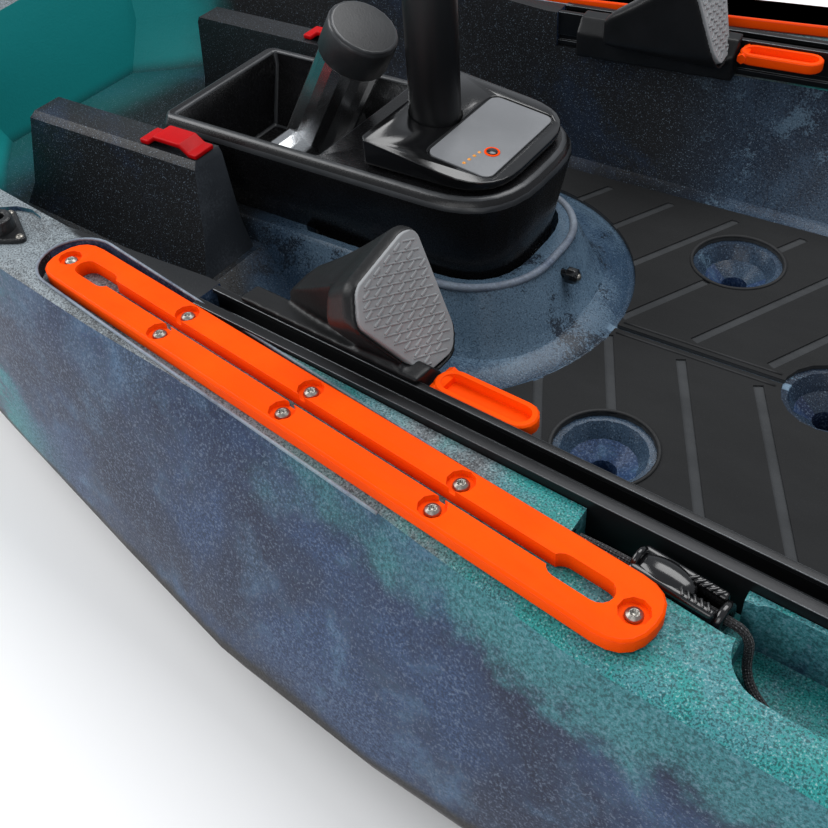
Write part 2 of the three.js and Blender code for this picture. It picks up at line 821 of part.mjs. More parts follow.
// Raised seat of the motor: flange, collar and the cheeks that hold the forward end
function motorSeat() {
  const flange = turned([[0, floorHeight - overrun], [flangeRadius + wellFillet, floorHeight - overrun],
    [flangeRadius, floorHeight + seatGap], [flangeRadius - plinthFoot / 2, flangeHeight + seatGap],
    [flangeRadius - plinthFoot, flangeHeight + flangeRidge / 2], [0, flangeHeight + flangeRidge]], 28);
  const level = (z, grow) => tailRing(z, collarX - grow, plinthFore + grow, collarHalf + grow, collarCorner + grow, plinthCorner);
  const collar = loft([level(floorHeight - overrun, collarDraft + plinthFoot), level(flangeHeight, collarDraft + plinthFoot / 2),
    level(flangeHeight + collarRound * 2, (collarDraft * (collarTop - flangeHeight - collarRound * 2)) / (collarTop - flangeHeight)),
    level(collarTop - collarRound / 2, 0), level(collarTop, -collarRound / 2)]);
  const cheekFore = cheekAft + cheekLength;
  const cheekLevel = (z, out) => [[cheekAft - out / 2, cheekInner], [cheekFore + out / 2, cheekInner],
    [cheekFore + out / 2, cheekOuter + out], [cheekAft - out / 2, cheekOuter + out]]
    .map(([x, y]) => new THREE.Vector3(x, y, z));
  const cheek = loft([cheekLevel(floorHeight - overrun, cheekFoot * 2), cheekLevel(collarTop - lipRound, cheekFoot),
    cheekLevel(collarTop + lipRound, cheekFoot / 2), cheekLevel(cheekTop - housingBevel, 0),
    cheekLevel(cheekTop, -housingBevel)]);
  return join(moved(flange, [motorX, 0, 0]), collar, pair(cheek));
}

function motorSeatBores() {
  const cup = prism(roundTail(housingX - collarGap, motorX + housingAft + collarGap, housingHalf + collarGap,
    housingCorner + collarGap, housingBevel), collarCupFloor, collarTop + overrun, 0, 7);
  const trunk = rod(trunkRadius, wellRoof - overrun, collarCupFloor + overrun, 14);
  const well = rod(wellRadius, -overrun, wellRoof, 20);
  const pin = moved(rod(lockPinRadius + runGap, -overrun, housingX - collarGap - lockPinX + overrun, 8),
    [housingX - collarGap, 0, lockPinHeight], [0, -Math.PI / 2, 0]);
  return join(moved(join(trunk, well), [motorX, 0, 0]), cup, pin);
}

// Bed of the gear track in the gunwale
function trackBed() {
  const half = trackWidth / 2;
  const bed = alongX(rectangle(-half - trackNotchClear, half + runGap, 0, trackHeight + bowRise),
    (trackAft - trackX) / Math.cos(radians(trackAngle)) - seatGap, (trackFore - trackX) / Math.cos(radians(trackAngle)) + seatGap);
  return moved(bed, [trackX, trackY, trackTop - trackHeight - seatGap], [0, 0, -radians(trackAngle)]);
}

function plateBed() {
  const bed = prism(stadium(plateLength + 2 * plateBedClear, plateWidth + 2 * plateBedClear), gunwaleHeight,
    gunwaleHeight + bowRise, 0, 8);
  return moved(bed, [plateX, plateY, 0], [0, 0, -radians(plateAngle)]);
}

function cordChannel() {
  const inner = (x) => trackCentre(x) + trackHalf - channelInset;
  const end = channelAft + channelWall;
  const channel = prism(outline([[channelFore, inner(channelFore)], [channelFore, inner(channelFore) + channelForeWidth],
    [end, inner(end) + channelAftWidth], [end, inner(end)]]), channelFloor, gunwaleHeight + overrun);
  const notchY = cordRoute[6][1];
  const notch = prism(rectangle(channelAft - overrun, end + runGap, notchY - channelNotch / 2, notchY + channelNotch / 2),
    channelFloor, gunwaleHeight + overrun);
  const pocketCorner = channelAft - pocketCornerBack;
  const pocketInner = (x) => trackCentre(x) + trackHalf + pocketWeb;
  const pocket = prism(outline([[channelAft, pocketInner(channelAft)], [channelAft, pocketOuterFore],
    [pocketCorner, pocketOuter - pocketWeb], [pocketCorner - overrun, pocketOuter], [pocketAft, pocketOuter + pocketWeb],
    [pocketAft, pocketInner(pocketAft)]], lipRound), pocketFloor, gunwaleHeight + overrun);
  const hole = moved(rod(cordRadius + runGap * 2, 0, overrun, 8), [channelFore - seatGap, cordRoute[0][1], cordRoute[0][2]],
    [0, Math.PI / 2, 0]);
  return join(channel, notch, pocket, hole);
}

const lidBottom = coamingTop + seatGap;
const hingeX = hatchX + hatchHalfLength + lidOverhang + hingeBarrel;
const hatchOval = (grow) => ellipse(hatchHalfLength + grow, hatchHalfWidth + grow);

function hull() {
  const coaming = moved(prism(hatchOval(0), hatchPocketFloor, coamingTop, 0, 10), [hatchX, 0, 0]);
  const dogPost = moved(rod(dogPostRadius, gunwaleHeight, coamingTop + lidThick + seatGap, 8),
    [hatchX - dogAlong, dogPostOut(), 0]);
  const hatchPocket = moved(prism(hatchOval(-coamingWall), hatchPocketFloor, coamingTop + overrun, 0, 10), [hatchX, 0, 0]);
  const scuppers = [[scupperX, scupperY, floorHeight, true], [scupperAftX, scupperAftY, floorHeight, false],
    [tankScupperX, tankScupperY, tankFloor, false]].map(([x, y, floor, dished]) => pair(moved(scupper(floor, dished), [x, y, 0])));
  const baseSeat = moved(rod(baseRadius + runGap * 2, 0, bowRise, 14), [baseX, baseY, gunwaleAt(baseX) - baseSunk]);
  const plugHole = moved(rod(plugRecess, -overrun, plugSink, 12), [-halfLength, 0, plugHeight], [0, Math.PI / 2, 0]);
  return largest(cut(join(cut(hullShell(), footwell(), tankWell()), motorSeat(), coaming, pair(dogPost)),
    motorSeatBores(), hatchPocket, ...scuppers, moved(scupper(floorHeight), [scupperMidX, 0, 0]), pair(trackBed()),
    pair(plateBed()), cordChannel(), pair(baseSeat), pair(rodHolderBore()), plugHole, handleSeat(bowHandleX),
    handleSeat(sternHandleX), hingeSeat(), pair(anchorSeat())));
}

const handleFoot = (x) => deckAt(x, gripHalf + gripFootRadius) - gripFootSunk;
const handleSeat = (x) => pair(moved(rod(gripFootRadius + runGap, 0, bowRise, 8), [x, gripHalf, handleFoot(x)]));

// Seat of the hatch hinge in the deck
function hingeSeat() {
  const wide = hingeBarrelHalf + 2 * runGap + hingeEar;
  return prism(rectangle(hatchX + hatchHalfLength - hingeBarrel, hingeX + hingeBarrel + runGap, -wide, wide),
    lidBottom - hingeFootDrop - seatGap, lidBottom + overrun);
}

const anchorHalf = bailHalf + bailRadius + runGap + earThick;
const anchorInner = gunwaleHalf(sideHandleX) - earDepth / 4;

// Seats let into the sides for the handle anchors
function anchorSeat() {
  return moved(prism(rectangle(-anchorHalf - runGap, anchorHalf + runGap, anchorInner, halfBeam + overrun), -earHeight / 2 - runGap,
    earHeight / 2 + runGap), [sideHandleX, 0, bailPivotZ]);
}

const dogPostOut = () => (hatchHalfWidth + lidOverhang) * Math.sqrt(1 - (dogAlong / hatchHalfLength) ** 2) + dogOut;

// Bore for a rod holder's liner, tilted so that the rod leans aft
function rodHolderBore() {
  const bore = join(rod(rodBore + rodWall + seatGap, -rodDepth - seatGap, 0, 12), rod(rodFlange + runGap, 0, overrun * 2, 12));
  return moved(bore, [rodX, rodY, gunwaleHeight - rodFlangeThick], [0, -radians(rodTilt), 0]);
}

place('hull', hull(), 'hull');

// Floor mats, with chevron grooves and a cut-out round each scupper
function floorMat() {
  const seam = matSeam;
  const ring = flangeRadius + matSeam * 2;
  const startAngle = Math.PI - Math.asin(seam / ring);
  const endAngle = Math.acos((matFore - motorX) / ring);
  const shape = new THREE.Shape();
  shape.moveTo(matAft, seam);
  shape.lineTo(motorX + ring * Math.cos(startAngle), seam);
  shape.absarc(motorX, 0, ring, startAngle, endAngle, true);
  shape.lineTo(matFore, matEdge);
  shape.lineTo(matAft + matCornerRadius, matEdge);
  shape.quadraticCurveTo(matAft, matEdge, matAft, matEdge - matCornerRadius);
  shape.closePath();
  const mat = prism(shape, 0, matThick, 0, 12);
  const tools = [moved(rod(matCutRadius, -overrun, overrun, 18), [scupperX, scupperY, 0]),
    moved(rod(matCutRadius, -overrun, overrun, 18), [scupperMidX, 0, 0])];
  const reach = matEdge - 2 * matGrooveMargin;
  const back = Math.tan(radians(matGrooveAngle)) * reach;
  for (let start = matGrooveFirst + 3 * matGrooveStep; start - back > matAft - matGrooveStep; start -= matGrooveStep) {
    const from = new THREE.Vector2(start, matGrooveMargin);
    const to = new THREE.Vector2(start - back, matGrooveMargin + reach);
    const run = to.clone().sub(from);
    const groove = prism(rectangle(-run.length() / 2, run.length() / 2, -matGrooveWidth / 2, matGrooveWidth / 2),
      matThick - matGrooveDepth, matThick + overrun);
    tools.push(moved(groove, [(from.x + to.x) / 2, (from.y + to.y) / 2, 0], [0, 0, run.angle()]));
  }
  const keep = prism(rectangle(matAft + matGrooveMargin, matFore + overrun, 0, matEdge - matGrooveMargin), -overrun, overrun * 2);
  const grooves = join(...tools.slice(2)).intersect(keep);
  return cut(mat, tools[0], tools[1], grooves);
}
placePair('floor_mat', floorMat(), 'mat', [0, 0, floorHeight + seatGap]);

// Gear track: a T-slotted extrusion along the inner edge of each gunwale
function gearTrack() {
  const half = trackWidth / 2;
  const slotIn = -half + trackInnerLip;
  const slotOut = slotIn + trackSlot;
  const cavityTop = trackHeight - trackLipDepth;
  const cavityFloor = cavityTop - trackCavityDepth;
  const notchLow = cavityFloor - trackSideNotchHeight * 2;
  const section = outline([[-half, 0], [half, 0], [half, trackHeight], [slotOut, trackHeight], [slotOut, cavityTop],
    [slotOut + trackCavityUndercut, cavityTop], [slotOut + trackCavityUndercut, cavityFloor],
    [slotIn - trackCavityUndercut, cavityFloor], [slotIn - trackCavityUndercut, cavityTop], [slotIn, cavityTop],
    [slotIn, trackHeight], [-half, trackHeight], [-half, notchLow + trackSideNotchHeight],
    [-half + trackSideNotch, notchLow + trackSideNotchHeight], [-half + trackSideNotch, notchLow], [-half, notchLow]]);
  return alongX(section, (trackAft - trackX) / Math.cos(radians(trackAngle)), (trackFore - trackX) / Math.cos(radians(trackAngle)));
}
placePair('gear_track', gearTrack(), 'track', [trackX, trackY, trackTop - trackHeight], [0, 0, -radians(trackAngle)]);

// Slotted plate with countersunk screw seats
function slottedPlate() {
  const shape = rectangle(-plateLength / 2, plateLength / 2, -plateWidth / 2, plateWidth / 2, plateCorner);
  const slot = join(prism(stadium(2 * plateSlotEnd - platePocketLength, plateSlotWidth), -overrun, overrun, 0, 1),
    ...[-1, 1].map((end) => moved(prism(stadium(platePocketLength, platePocketWidth), -overrun, overrun, 0, 4),
      [end * (plateSlotEnd - platePocketLength / 2), 0, 0])));
  const seats = [[-2, 0], [2, 0]];
  [-1, 0, 1].forEach((step) => seats.push([step, -1], [step, 1]));
  const sinks = seats.map(([step, row]) => moved(rod(plateSinkRadius, plateThick - plateSinkDepth, plateThick + overrun, 10),
    [step * plateScrewPitch, row * plateScrewRow, 0]));
  return cut(prism(shape, 0, plateThick, plateEase, 5), slot, ...sinks);
}
placePair('slotted_plate', slottedPlate(), 'plate', [plateX, plateY, gunwaleHeight + seatGap], [0, 0, -radians(plateAngle)]);

// Round mounting base with three screw ears and a centre boss
function mountBase() {
  const ears = [0, 1, 2].map((i) => {
    const angle = (2 * Math.PI * i) / 3;
    return moved(rod(baseEar, 0, baseThick, 8), [(baseEarOut - baseEar / 2) * Math.cos(angle), (baseEarOut - baseEar / 2) * Math.sin(angle), 0]);
  });
  const disc = turned([[0, 0], [baseRadius, 0], [baseRadius, baseThick / 2], [baseRadius - baseThick / 2, baseThick - baseSunk / 2],
    [0, baseThick - baseSunk / 2]], 14);
  return join(disc, ...ears, rod(baseBossRadius, 0, baseThick + baseBossHeight, 10));
}
placePair('mount_base', mountBase(), 'moulding', [baseX, baseY, gunwaleAt(baseX) - baseSunk + seatGap]);

// Cleat in the cord channel: base, two toothed jaws, a fairlead arch at the fore end and an eye at the aft end
function cordCleat() {
  const half = cleatLength / 2;
  const base = prism(stadium(cleatLength, cleatWidth), 0, cleatBaseThick, 0, 4);
  const bed = cordRoute[3][2] - cordRadius - runGap - channelFloor - seatGap;
  const jaw = prism(outline([[-cleatJawLength / 2, cordRadius + runGap], [cleatJawLength / 2, cordRadius + runGap],
    [cleatJawLength / 2 - cleatJawThick, cordRadius + cleatJawThick], [-cleatJawLength / 2, cordRadius + cleatJawThick + runGap]]),
  0, bed + 2 * cordRadius + cleatHump);
  const arch = (x, radius, wire) => moved(solid(new THREE.TorusGeometry(radius, wire, 5, 10)), [x, 0, bed + cordRadius + runGap],
    [Math.PI / 2, Math.PI / 2, 0]);
  return join(base, prism(stadium(cleatLength, cleatWidth - 2 * runGap), 0, bed, 0, 4), pair(jaw),
    arch(half - cleatArchTube, cleatArchRadius, cleatArchTube), arch(-cleatEyeOut, cleatEyeRadius, cleatEyeTube));
}
place('cord_cleat', cordCleat(), 'gloss', [cleatX, cleatY, channelFloor + seatGap], [0, 0, radians(cleatAngle)]);

// Pull cord laid along its route
function pullCord() {
  const curve = new THREE.CatmullRomCurve3(cordRoute.map((point) => new THREE.Vector3(...point)));
  return tube(curve, cordRadius, cordSides, Math.round(curve.getLength() / cordStep));
}
place('pull_cord', pullCord(), 'cord');
const cordEnd = new THREE.Vector3(...cordRoute.at(-1));
const cordHeading = cordEnd.clone().sub(new THREE.Vector3(...cordRoute.at(-2))).normalize();
place('cord_knot', moved(turned([[0, -knotRadius], [knotRadius * crownShoulderShare, -knotRadius * sideHighShare], [knotRadius, -knotRadius * sideLowShare],
  [knotRadius, knotRadius * sideLowShare], [knotRadius * crownShoulderShare, knotRadius * sideHighShare], [0, knotRadius]], 8),
[0, 0, 0], [0, Math.PI / 2, Math.atan2(cordHeading.y, cordHeading.x)]), 'cord',
cordEnd.clone().add(cordHeading.multiplyScalar(knotRadius + seatGap)).toArray());

// Motor housing: flared sides, a round tail let into the collar and a trough for the lock lever
function motorHousing() {
  const level = (z, grow) => tailRing(z, housingX - grow, housingFore, housingHalf + grow, housingCorner + grow, housingBevel);
  const upper = loft([level(collarTop + seatGap, 0), level(housingLip, housingFlare), level(housingLip + housingBevel, housingFlare),
    level(housingTop, housingFlare - housingBevel)]);
  const plug = prism(roundTail(housingX, motorX + housingAft, housingHalf, housingCorner, housingBevel), collarCupFloor + seatGap,
    collarTop + housingBevel, 0, 7);
  const troughAt = (z, half) => [[motorX + troughSetback, -half], [housingFore - troughEnd, -half],
    [housingFore - troughEnd, half], [motorX + troughSetback, half]].map(([x, y]) => new THREE.Vector3(x, y, z));
  const trough = loft([troughAt(troughFloor, troughFootHalf), troughAt(housingLip, troughHalf), troughAt(housingTop + overrun, troughHalf)]);
  const bore = moved(rod(columnRadius + runGap, collarCupFloor - overrun, housingTop + overrun, 16), [motorX, 0, 0]);
  const pin = acrossY(circle(leverX, leverPivotZ, leverPin + runGap), -leverPinHalf - runGap, leverPinHalf + runGap);
  return cut(join(upper, plug), trough, bore, pin);
}

function circle(x, y, radius) {
  const shape = new THREE.Shape();
  shape.absarc(x, y, radius, 0, 2 * Math.PI, false);
  return shape;
}
place('motor_housing', motorHousing(), 'moulding');

// Raised cover that slopes down to its round tail, with a bare recessed panel on the slope
function motorCover() {
  const tail = motorX - coverAft;
  const fore = motorX + coverReach;
  const slope = (coverHeight - coverTailHeight) / (fore - tail);
  const cover = prism(roundTail(tail, fore, coverHalf, coverCorner, coverBevel), 0, coverHeight + coverBevel, coverBevel, 7);
  const above = (drop) => acrossY(outline([[tail - overrun, coverTailHeight - slope * overrun - drop],
    [fore + overrun, coverHeight + slope * overrun - drop], [fore + overrun, coverHeight + 2 * overrun],
    [tail - overrun, coverHeight + 2 * overrun]]), -coverHalf - overrun, coverHalf + overrun);
  const panelAft = tail + panelSetback;
  const panel = prism(rectangle(panelAft, panelAft + panelLength, -panelWidth / 2, panelWidth / 2, panelSetback), -overrun,
    coverHeight + overrun, 0, 3);
  const bore = moved(rod(columnRadius + runGap, -overrun, coverHeight + overrun, 16), [motorX, 0, 0]);
  return cut(cover, above(0), panel.intersect(above(panelThick)), bore);
}
place('motor_cover', motorCover(), 'gloss', [0, 0, housingTop + seatGap]);

// Column that drops the motor through the well, with a cap that ends its travel
const columnTop = housingTop + coverHeight + dropTravel + capHeight / 2;
const motor = new THREE.Group();
motor.position.set(motorX, 0, 0);
kayak.add(motor);
place('motor_column', rod(columnRadius, columnFoot, columnTop, 16), 'track', [0, 0, 0], [0, 0, 0], motor);
const capBottom = housingTop + coverHeight + dropTravel + runGap * 4;
function columnCap() {
  const cap = turned([[0, 0], [capRadius * crownShoulderShare, 0], [capRadius, capHeight * crownShoulderDropShare / 2],
    [capRadius, capHeight - coverBevel], [capRadius - coverBevel, capHeight], [0, capHeight]], 16);
  return cut(cap, rod(columnRadius + seatGap, -overrun, columnTop - capBottom + seatGap, 16));
}
place('column_cap', columnCap(), 'moulding', [0, 0, capBottom], [0, 0, 0], motor);

// Motor pod under the column
function motorPod() {
  const body = moved(turned([[0, -podTail], [hubRadius + podNeckEase, -podTail], [podRadius, -podTail * crownShoulderShare],
    [podRadius, podNose * crownShoulderDropShare], [podRadius * sideHighShare, podNose * sideHighShare], [0, podNose]], 14),
  [0, 0, podHeight], [0, Math.PI / 2, 0]);
  const neck = prism(stadium(podNeck * 3, podNeck * 2 - podNeckEase), podHeight, columnFoot - podNeckEase * 4, 0, 5);
  return join(body, neck, rod(podNeck, podHeight, columnFoot - seatGap, 12));
}
place('motor_pod', motorPod(), 'moulding', [0, 0, 0], [0, 0, 0], motor);

// Propeller: a hub with a spinner and twisted blades
function propeller() {
  const hub = turned([[0, 0], [hubRadius, 0], [hubRadius, hubLength], [hubRadius * crownShoulderShare, hubLength + spinnerLength * sideHighShare],
    [0, hubLength + spinnerLength]], 10);
  const sections = [0, 1, 2, 3].map((i) => {
    const share = i / 3;
    const radius = hubRadius * crownShoulderShare + (propRadius - hubRadius * crownShoulderShare) * share;
    const chord = hubLength * (bladeRootShare + (bladeTipShare - bladeRootShare) * share);
    const angle = radians(bladeRootAngle + (bladeTipAngle - bladeRootAngle) * share);
    const thick = bladeThick * (1 - share / 2);
    return [[-chord / 2, 0], [0, thick / 2], [chord / 2, 0], [0, -thick / 2]].map(([along, across]) => new THREE.Vector3(
      radius, along * Math.cos(angle) - across * Math.sin(angle), hubLength / 2 + along * Math.sin(angle) + across * Math.cos(angle)));
  });
  const blades = Array.from({ length: bladeCount }, (_, i) => moved(loft(sections), [0, 0, 0], [0, 0, (2 * Math.PI * i) / bladeCount]));
  return join(hub, ...blades);
}
place('propeller', propeller(), 'prop', [-podTail - runGap, 0, podHeight], [0, -Math.PI / 2, 0], motor);

// Lock lever: a thick silver tube that leans back from a cross pin in the trough, with a black end cap
const lever = new THREE.Group();
lever.position.set(leverX, 0, leverPivotZ);
lever.rotation.set(0, -radians(leverLean), 0);
kayak.add(lever);
function lockLever() {
  const boss = moved(rod(leverBoss, -leverBossHalf, leverBossHalf, 14), [0, 0, 0], [Math.PI / 2, 0, 0]);
  const pin = moved(rod(leverPin, -leverPinHalf, leverPinHalf, 12), [0, 0, 0], [Math.PI / 2, 0, 0]);
  return join(boss, pin, rod(leverRadius, 0, leverLength, 20));
}
place('lock_lever', lockLever(), 'silver', [0, 0, 0], [0, 0, 0], lever);
function leverCap() {
  const outer = leverRadius + leverCapWall;
  const cap = turned([[0, 0], [outer, 0], [outer, leverCapLength - leverCapWall], [outer - leverCapWall, leverCapLength], [0, leverCapLength]], 20);
  return cut(cap, rod(leverRadius + seatGap, -overrun, leverCapLength - 2 * leverCapWall, 20));
}
place('lever_cap', leverCap(), 'moulding', [0, 0, leverLength - leverCapLength + 2 * leverCapWall + seatGap], [0, 0, 0], lever);

// Spring pin in the side of the collar, with a knob to pull
function lockPin() {
  return turned([[0, -lockPinReach], [lockPinRadius, -lockPinReach], [lockPinRadius, lockTipLength],
    [lockKnobRadius, lockTipLength + runGap], [lockKnobRadius, lockKnobLength], [lockKnobRadius - lockTipLength, lockKnobLength + lockTipLength],
    [0, lockKnobLength + lockTipLength]], 10);
}
place('lock_pin', lockPin(), 'moulding', [lockPinX, 0, lockPinHeight], [0, -Math.PI / 2, 0]);

// Red release strap: a low arch on the top of each cheek, hinged at its forward foot
function releaseStrap() {
  const half = strapWidth / 2;
  const arch = outline([[0, 0], [strapThick * 2, 0], [strapThick * 4, strapRise], [strapLength - strapThick * 4, strapRise],
    [strapLength - strapThick * 2, 0], [strapLength, 0], [strapLength, strapThick], [strapLength - strapThick * 2, strapThick],
    [strapLength - strapThick * 4, strapRise + strapThick], [strapThick * 4, strapRise + strapThick],
    [strapThick * 2, strapThick], [0, strapThick]]);
  return acrossY(arch, -half, half);
}
placePair('release_strap', releaseStrap(), 'red', [cheekAft + strapSetback, (cheekInner + cheekOuter) / 2, cheekTop + seatGap]);

// Foot brace carriage: a sleeve along the inner side of the track, swept up into the back of the pad
const braceAt = (x, out, z) => {
  const turn = radians(trackAngle);
  const run = (x - trackX) / Math.cos(turn);
  return [trackX + run * Math.cos(turn) + out * Math.sin(turn), trackY - run * Math.sin(turn) + out * Math.cos(turn), z];
};
const carriageInner = trackWidth / 2 + carriageGap;
function braceCarriage() {
  const fore = carriageFore - braceX;
  const aft = carriageAft - braceX;
  const sleeve = alongX(outline([[-carriageInner - carriageWidth, carriageTop - carriageDrop], [-carriageInner, carriageTop - carriageDrop],
    [-carriageInner, trackTop + carriageGap], [-carriageInner + trackInnerLip, trackTop + carriageGap],
    [-carriageInner + trackInnerLip, trackTop + carriageLip], [-carriageInner - carriageWidth / 2, trackTop + carriageLip],
    [-carriageInner - carriageWidth, carriageTop - carriageLip]]), aft, fore);
  const tip = bodyFore - braceX;
  const back = (z) => (z - padFoot) * Math.tan(radians(padTilt)) + padThick;
  const shape = outline(padOutline(-bodyRim), padRibMargin).getPoints(2).slice(0, -1);
  const body = loft(bodyShares.map(([place, widthShare, heightShare]) => shape.map((point) => {
    const y = point.x * widthShare + (1 - widthShare) * (-padInner);
    const z = padFoot + point.y * heightShare * Math.cos(radians(padTilt));
    return new THREE.Vector3(back(z) + place * (tip - back(z)), y, z);
  })));
  const padSpace = acrossY(outline([[-carriageWidth, padFoot - seatGap], [back(padFoot), padFoot - seatGap],
    [back(cheekTop * 2), cheekTop * 2], [-carriageWidth, cheekTop * 2]]), -padWidth * 2, padWidth);
  const trackSpace = prism(rectangle(aft - overrun, fore + overrun, -carriageInner, trackWidth), 0, trackTop + carriageGap);
  return cut(join(sleeve, cut(body, trackSpace)), padSpace);
}
const brace = braceAt(braceX, 0, 0);
placePair('brace_carriage', braceCarriage(), 'moulding', brace, [0, 0, -radians(trackAngle)]);

// Foot pad: a plate cut away at its outer foot, with rows of raised ribs that lean to either side in turn
function padOutline(inset) {
  const scale = (share, size) => size * (0.5 + (share - 0.5) * (1 - (2 * inset) / size));
  return padShares.map(([across, up]) => [-scale(across, padWidth), scale(up, padHeight)]);
}

function footPad() {
  const plate = prism(outline(padOutline(0), padRibMargin), 0, padThick, padRibHeight, 2);
  const ribs = [];
  for (let row = 0; row * padRibRow < padHeight; row += 1) {
    const lean = (row % 2 ? -1 : 1) * (padRibLength / 2);
    for (let i = 0; i * padRibPitch < padWidth; i += 1) {
      const rib = prism(outline([[0, 0], [padRibWidth, 0], [padRibWidth + lean, padRibLength], [lean, padRibLength]]),
        padThick - padRibHeight, padThick + padRibHeight, 0, 1);
      ribs.push(moved(rib, [-padWidth + i * padRibPitch, row * padRibRow, 0]));
    }
  }
  return join(plate, join(...ribs).intersect(prism(outline(padOutline(padRibMargin)), 0, padThick + overrun, 0, 1)));
}
const padTurn = new THREE.Matrix4().makeBasis(Y.clone().negate(), new THREE.Vector3(Math.sin(radians(padTilt)), 0, Math.cos(radians(padTilt))),
  new THREE.Vector3(-Math.cos(radians(padTilt)), 0, Math.sin(radians(padTilt))));
function padInPlace() {
  const geometry = geometryOf(footPad());
  geometry.applyMatrix4(padTurn);
  return solid(geometry);
}
placePair('foot_pad', padInPlace(), 'pad', braceAt(braceX + padThick - runGap, -padInner, padFoot), [0, 0, -radians(trackAngle)]);

// Release lever: a long loop beside the track, with a thin web inside it
function releaseLever() {
  const loop = prism(stadium(releaseLength, releaseWidth), -releaseThick, 0, releaseWeb / 2, 4);
  const inside = prism(stadium(releaseLength - 2 * releaseWall, releaseWidth - 2 * releaseWall), -releaseThick + releaseWeb, overrun, 0, 4);
  const hub = moved(rod(releaseHub, -releaseWidth / 2, releaseWidth / 2, 6), [releaseLength / 2 - releaseWall, 0, -releaseThick / 2], [Math.PI / 2, 0, 0]);
  return join(cut(loop, inside), hub);
}
placePair('release_lever', releaseLever(), 'plate', braceAt(carriageAft - releaseLength / 2 - runGap,
  -carriageInner - releaseWidth / 2, releaseTop), [0, 0, -radians(trackAngle)]);

// Seat frame: a bent tube on four feet
const seatZ = seatHeight;
function seatFrame() {
  const hx = seatLength / 2;
  const hy = seatWidth / 2;
  const ring = new THREE.CatmullRomCurve3([[-hx + seatCorner, -hy], [hx - seatCorner, -hy], [hx, -hy + seatCorner], [hx, hy - seatCorner],
    [hx - seatCorner, hy], [-hx + seatCorner, hy], [-hx, hy - seatCorner], [-hx, -hy + seatCorner]]
    .map(([x, y]) => new THREE.Vector3(x, y, 0)), true, 'catmullrom', 0.35);
  const hoop = solid(new THREE.TubeGeometry(ring, 24, seatRail, 8, true));
  const feet = [[hx - seatCorner * 1.5, hy], [-hx + seatCorner * 1.5, hy]].map(([x, y]) => {
    const leg = rod(seatRail - runGap, floorHeight - seatZ + footHeight, -seatRail / 4, 6);
    const foot = turned([[0, floorHeight + seatGap - seatZ], [footRadius, floorHeight + seatGap - seatZ],
      [footRadius * sideHighShare, floorHeight - seatZ + footHeight], [0, floorHeight - seatZ + footHeight]], 8);
    return moved(join(leg, foot), [x, y, 0]);
  });
  const ear = acrossY(outline([[-hx - hingeEarWidth / 2, -seatRail / 4], [-hx + hingeEarWidth / 2 + seatCorner, -seatRail / 4], [-hx + hingeEarWidth / 2 + seatCorner, seatRail],
    [-hx - backHingeBack + hingeEarWidth / 2, backHingeRise + hingeEarWidth / 2], [-hx - backHingeBack - hingeEarWidth / 2, backHingeRise + hingeEarWidth / 2]]),
  hy - hingeEarThick / 2, hy + hingeEarThick / 2);
  const pinHole = acrossY(circle(-hx - backHingeBack, backHingeRise, hingePin + runGap), -seatWidth, seatWidth);
  return join(hoop, ...feet.map(pair), cut(pair(ear), pinHole));
}
place('seat_frame', seatFrame(), 'silver', [seatX, 0, seatZ]);

// Seat back: a bent tube on ears at the rear of the seat frame, leaning back
const backPivot = [seatX - seatLength / 2 - backHingeBack, 0, seatZ + backHingeRise];
const back = new THREE.Group();
back.position.set(...backPivot);
back.rotation.set(0, -radians(backLean), 0);
kayak.add(back);
const backHalf = (seatWidth - hingeEarThick) / 2 - runGap - backRail;
function seatBackFrame() {
  const path = bentPath([[-backHalf, -backRail], [-backHalf, backHeight], [backHalf, backHeight], [backHalf, -backRail]]
    .map(([y, z]) => new THREE.Vector3(0, y, z)), seatCorner);
  const hoop = tube(path, backRail, 6, 26);
  const brace = tube(new THREE.LineCurve3(new THREE.Vector3(0, -backHalf, seatCorner * 1.5), new THREE.Vector3(0, backHalf, seatCorner * 1.5)),
    backRail - runGap, 6, 1);
  const pins = moved(rod(hingePin, -seatWidth / 2 - hingeEarThick, seatWidth / 2 + hingeEarThick, 8), [0, 0, 0], [Math.PI / 2, 0, 0]);
  const middle = prism(rectangle(-seatWidth, seatWidth, -backHalf, backHalf), -seatWidth, seatWidth);
  return join(hoop, brace, cut(pins, middle));
}
place('seat_back_frame', seatBackFrame(), 'silver', [0, 0, 0], [0, 0, 0], back);

// Cushion laced between a frame's rails: crowned, drawn in at its edges and sewn across into channels
function cushion(halfX, halfY, thick, channels) {
  const steps = channels * cushionPanelSteps;
  const rings = [];
  for (let i = 0; i <= steps; i += 1) {
    const t = (2 * i) / steps - 1;
    const x = halfX * (Math.abs(t) < cushionEndShare ? t : Math.sign(t) * (1 - (1 - Math.abs(t)) ** 2 / (1 - cushionEndShare)));
    const past = Math.max(0, Math.abs(x) - (halfX - cushionCorner)) / cushionCorner;
    const half = halfY - cushionCorner * (1 - Math.sqrt(Math.max(0, 1 - past * past * cushionCornerShare)));
    const swell = Math.abs(Math.sin((Math.PI * i) / cushionPanelSteps)) ** cushionPuffShare;
    const rise = (thick / 2) * (cushionSeamShare + (1 - cushionSeamShare) * swell) * (1 - past * past * cushionEdgeShare);
    const bend = (value) => Math.sign(value) * Math.abs(value) ** cushionPuffShare;
    const ring = Array.from({ length: cushionSides }, (_, k) => (2 * Math.PI * k) / cushionSides)
      .map((angle) => new THREE.Vector3(x, half * bend(Math.cos(angle)), rise * bend(Math.sin(angle))));
    rings.push(ring);
  }
  return loft(rings);
}
place('seat_cushion', cushion(seatLength / 2 - seatRail - cushionGap, seatWidth / 2 - seatRail - cushionGap, cushionThick, seatChannels),
  'fabric', [seatX, 0, seatZ]);
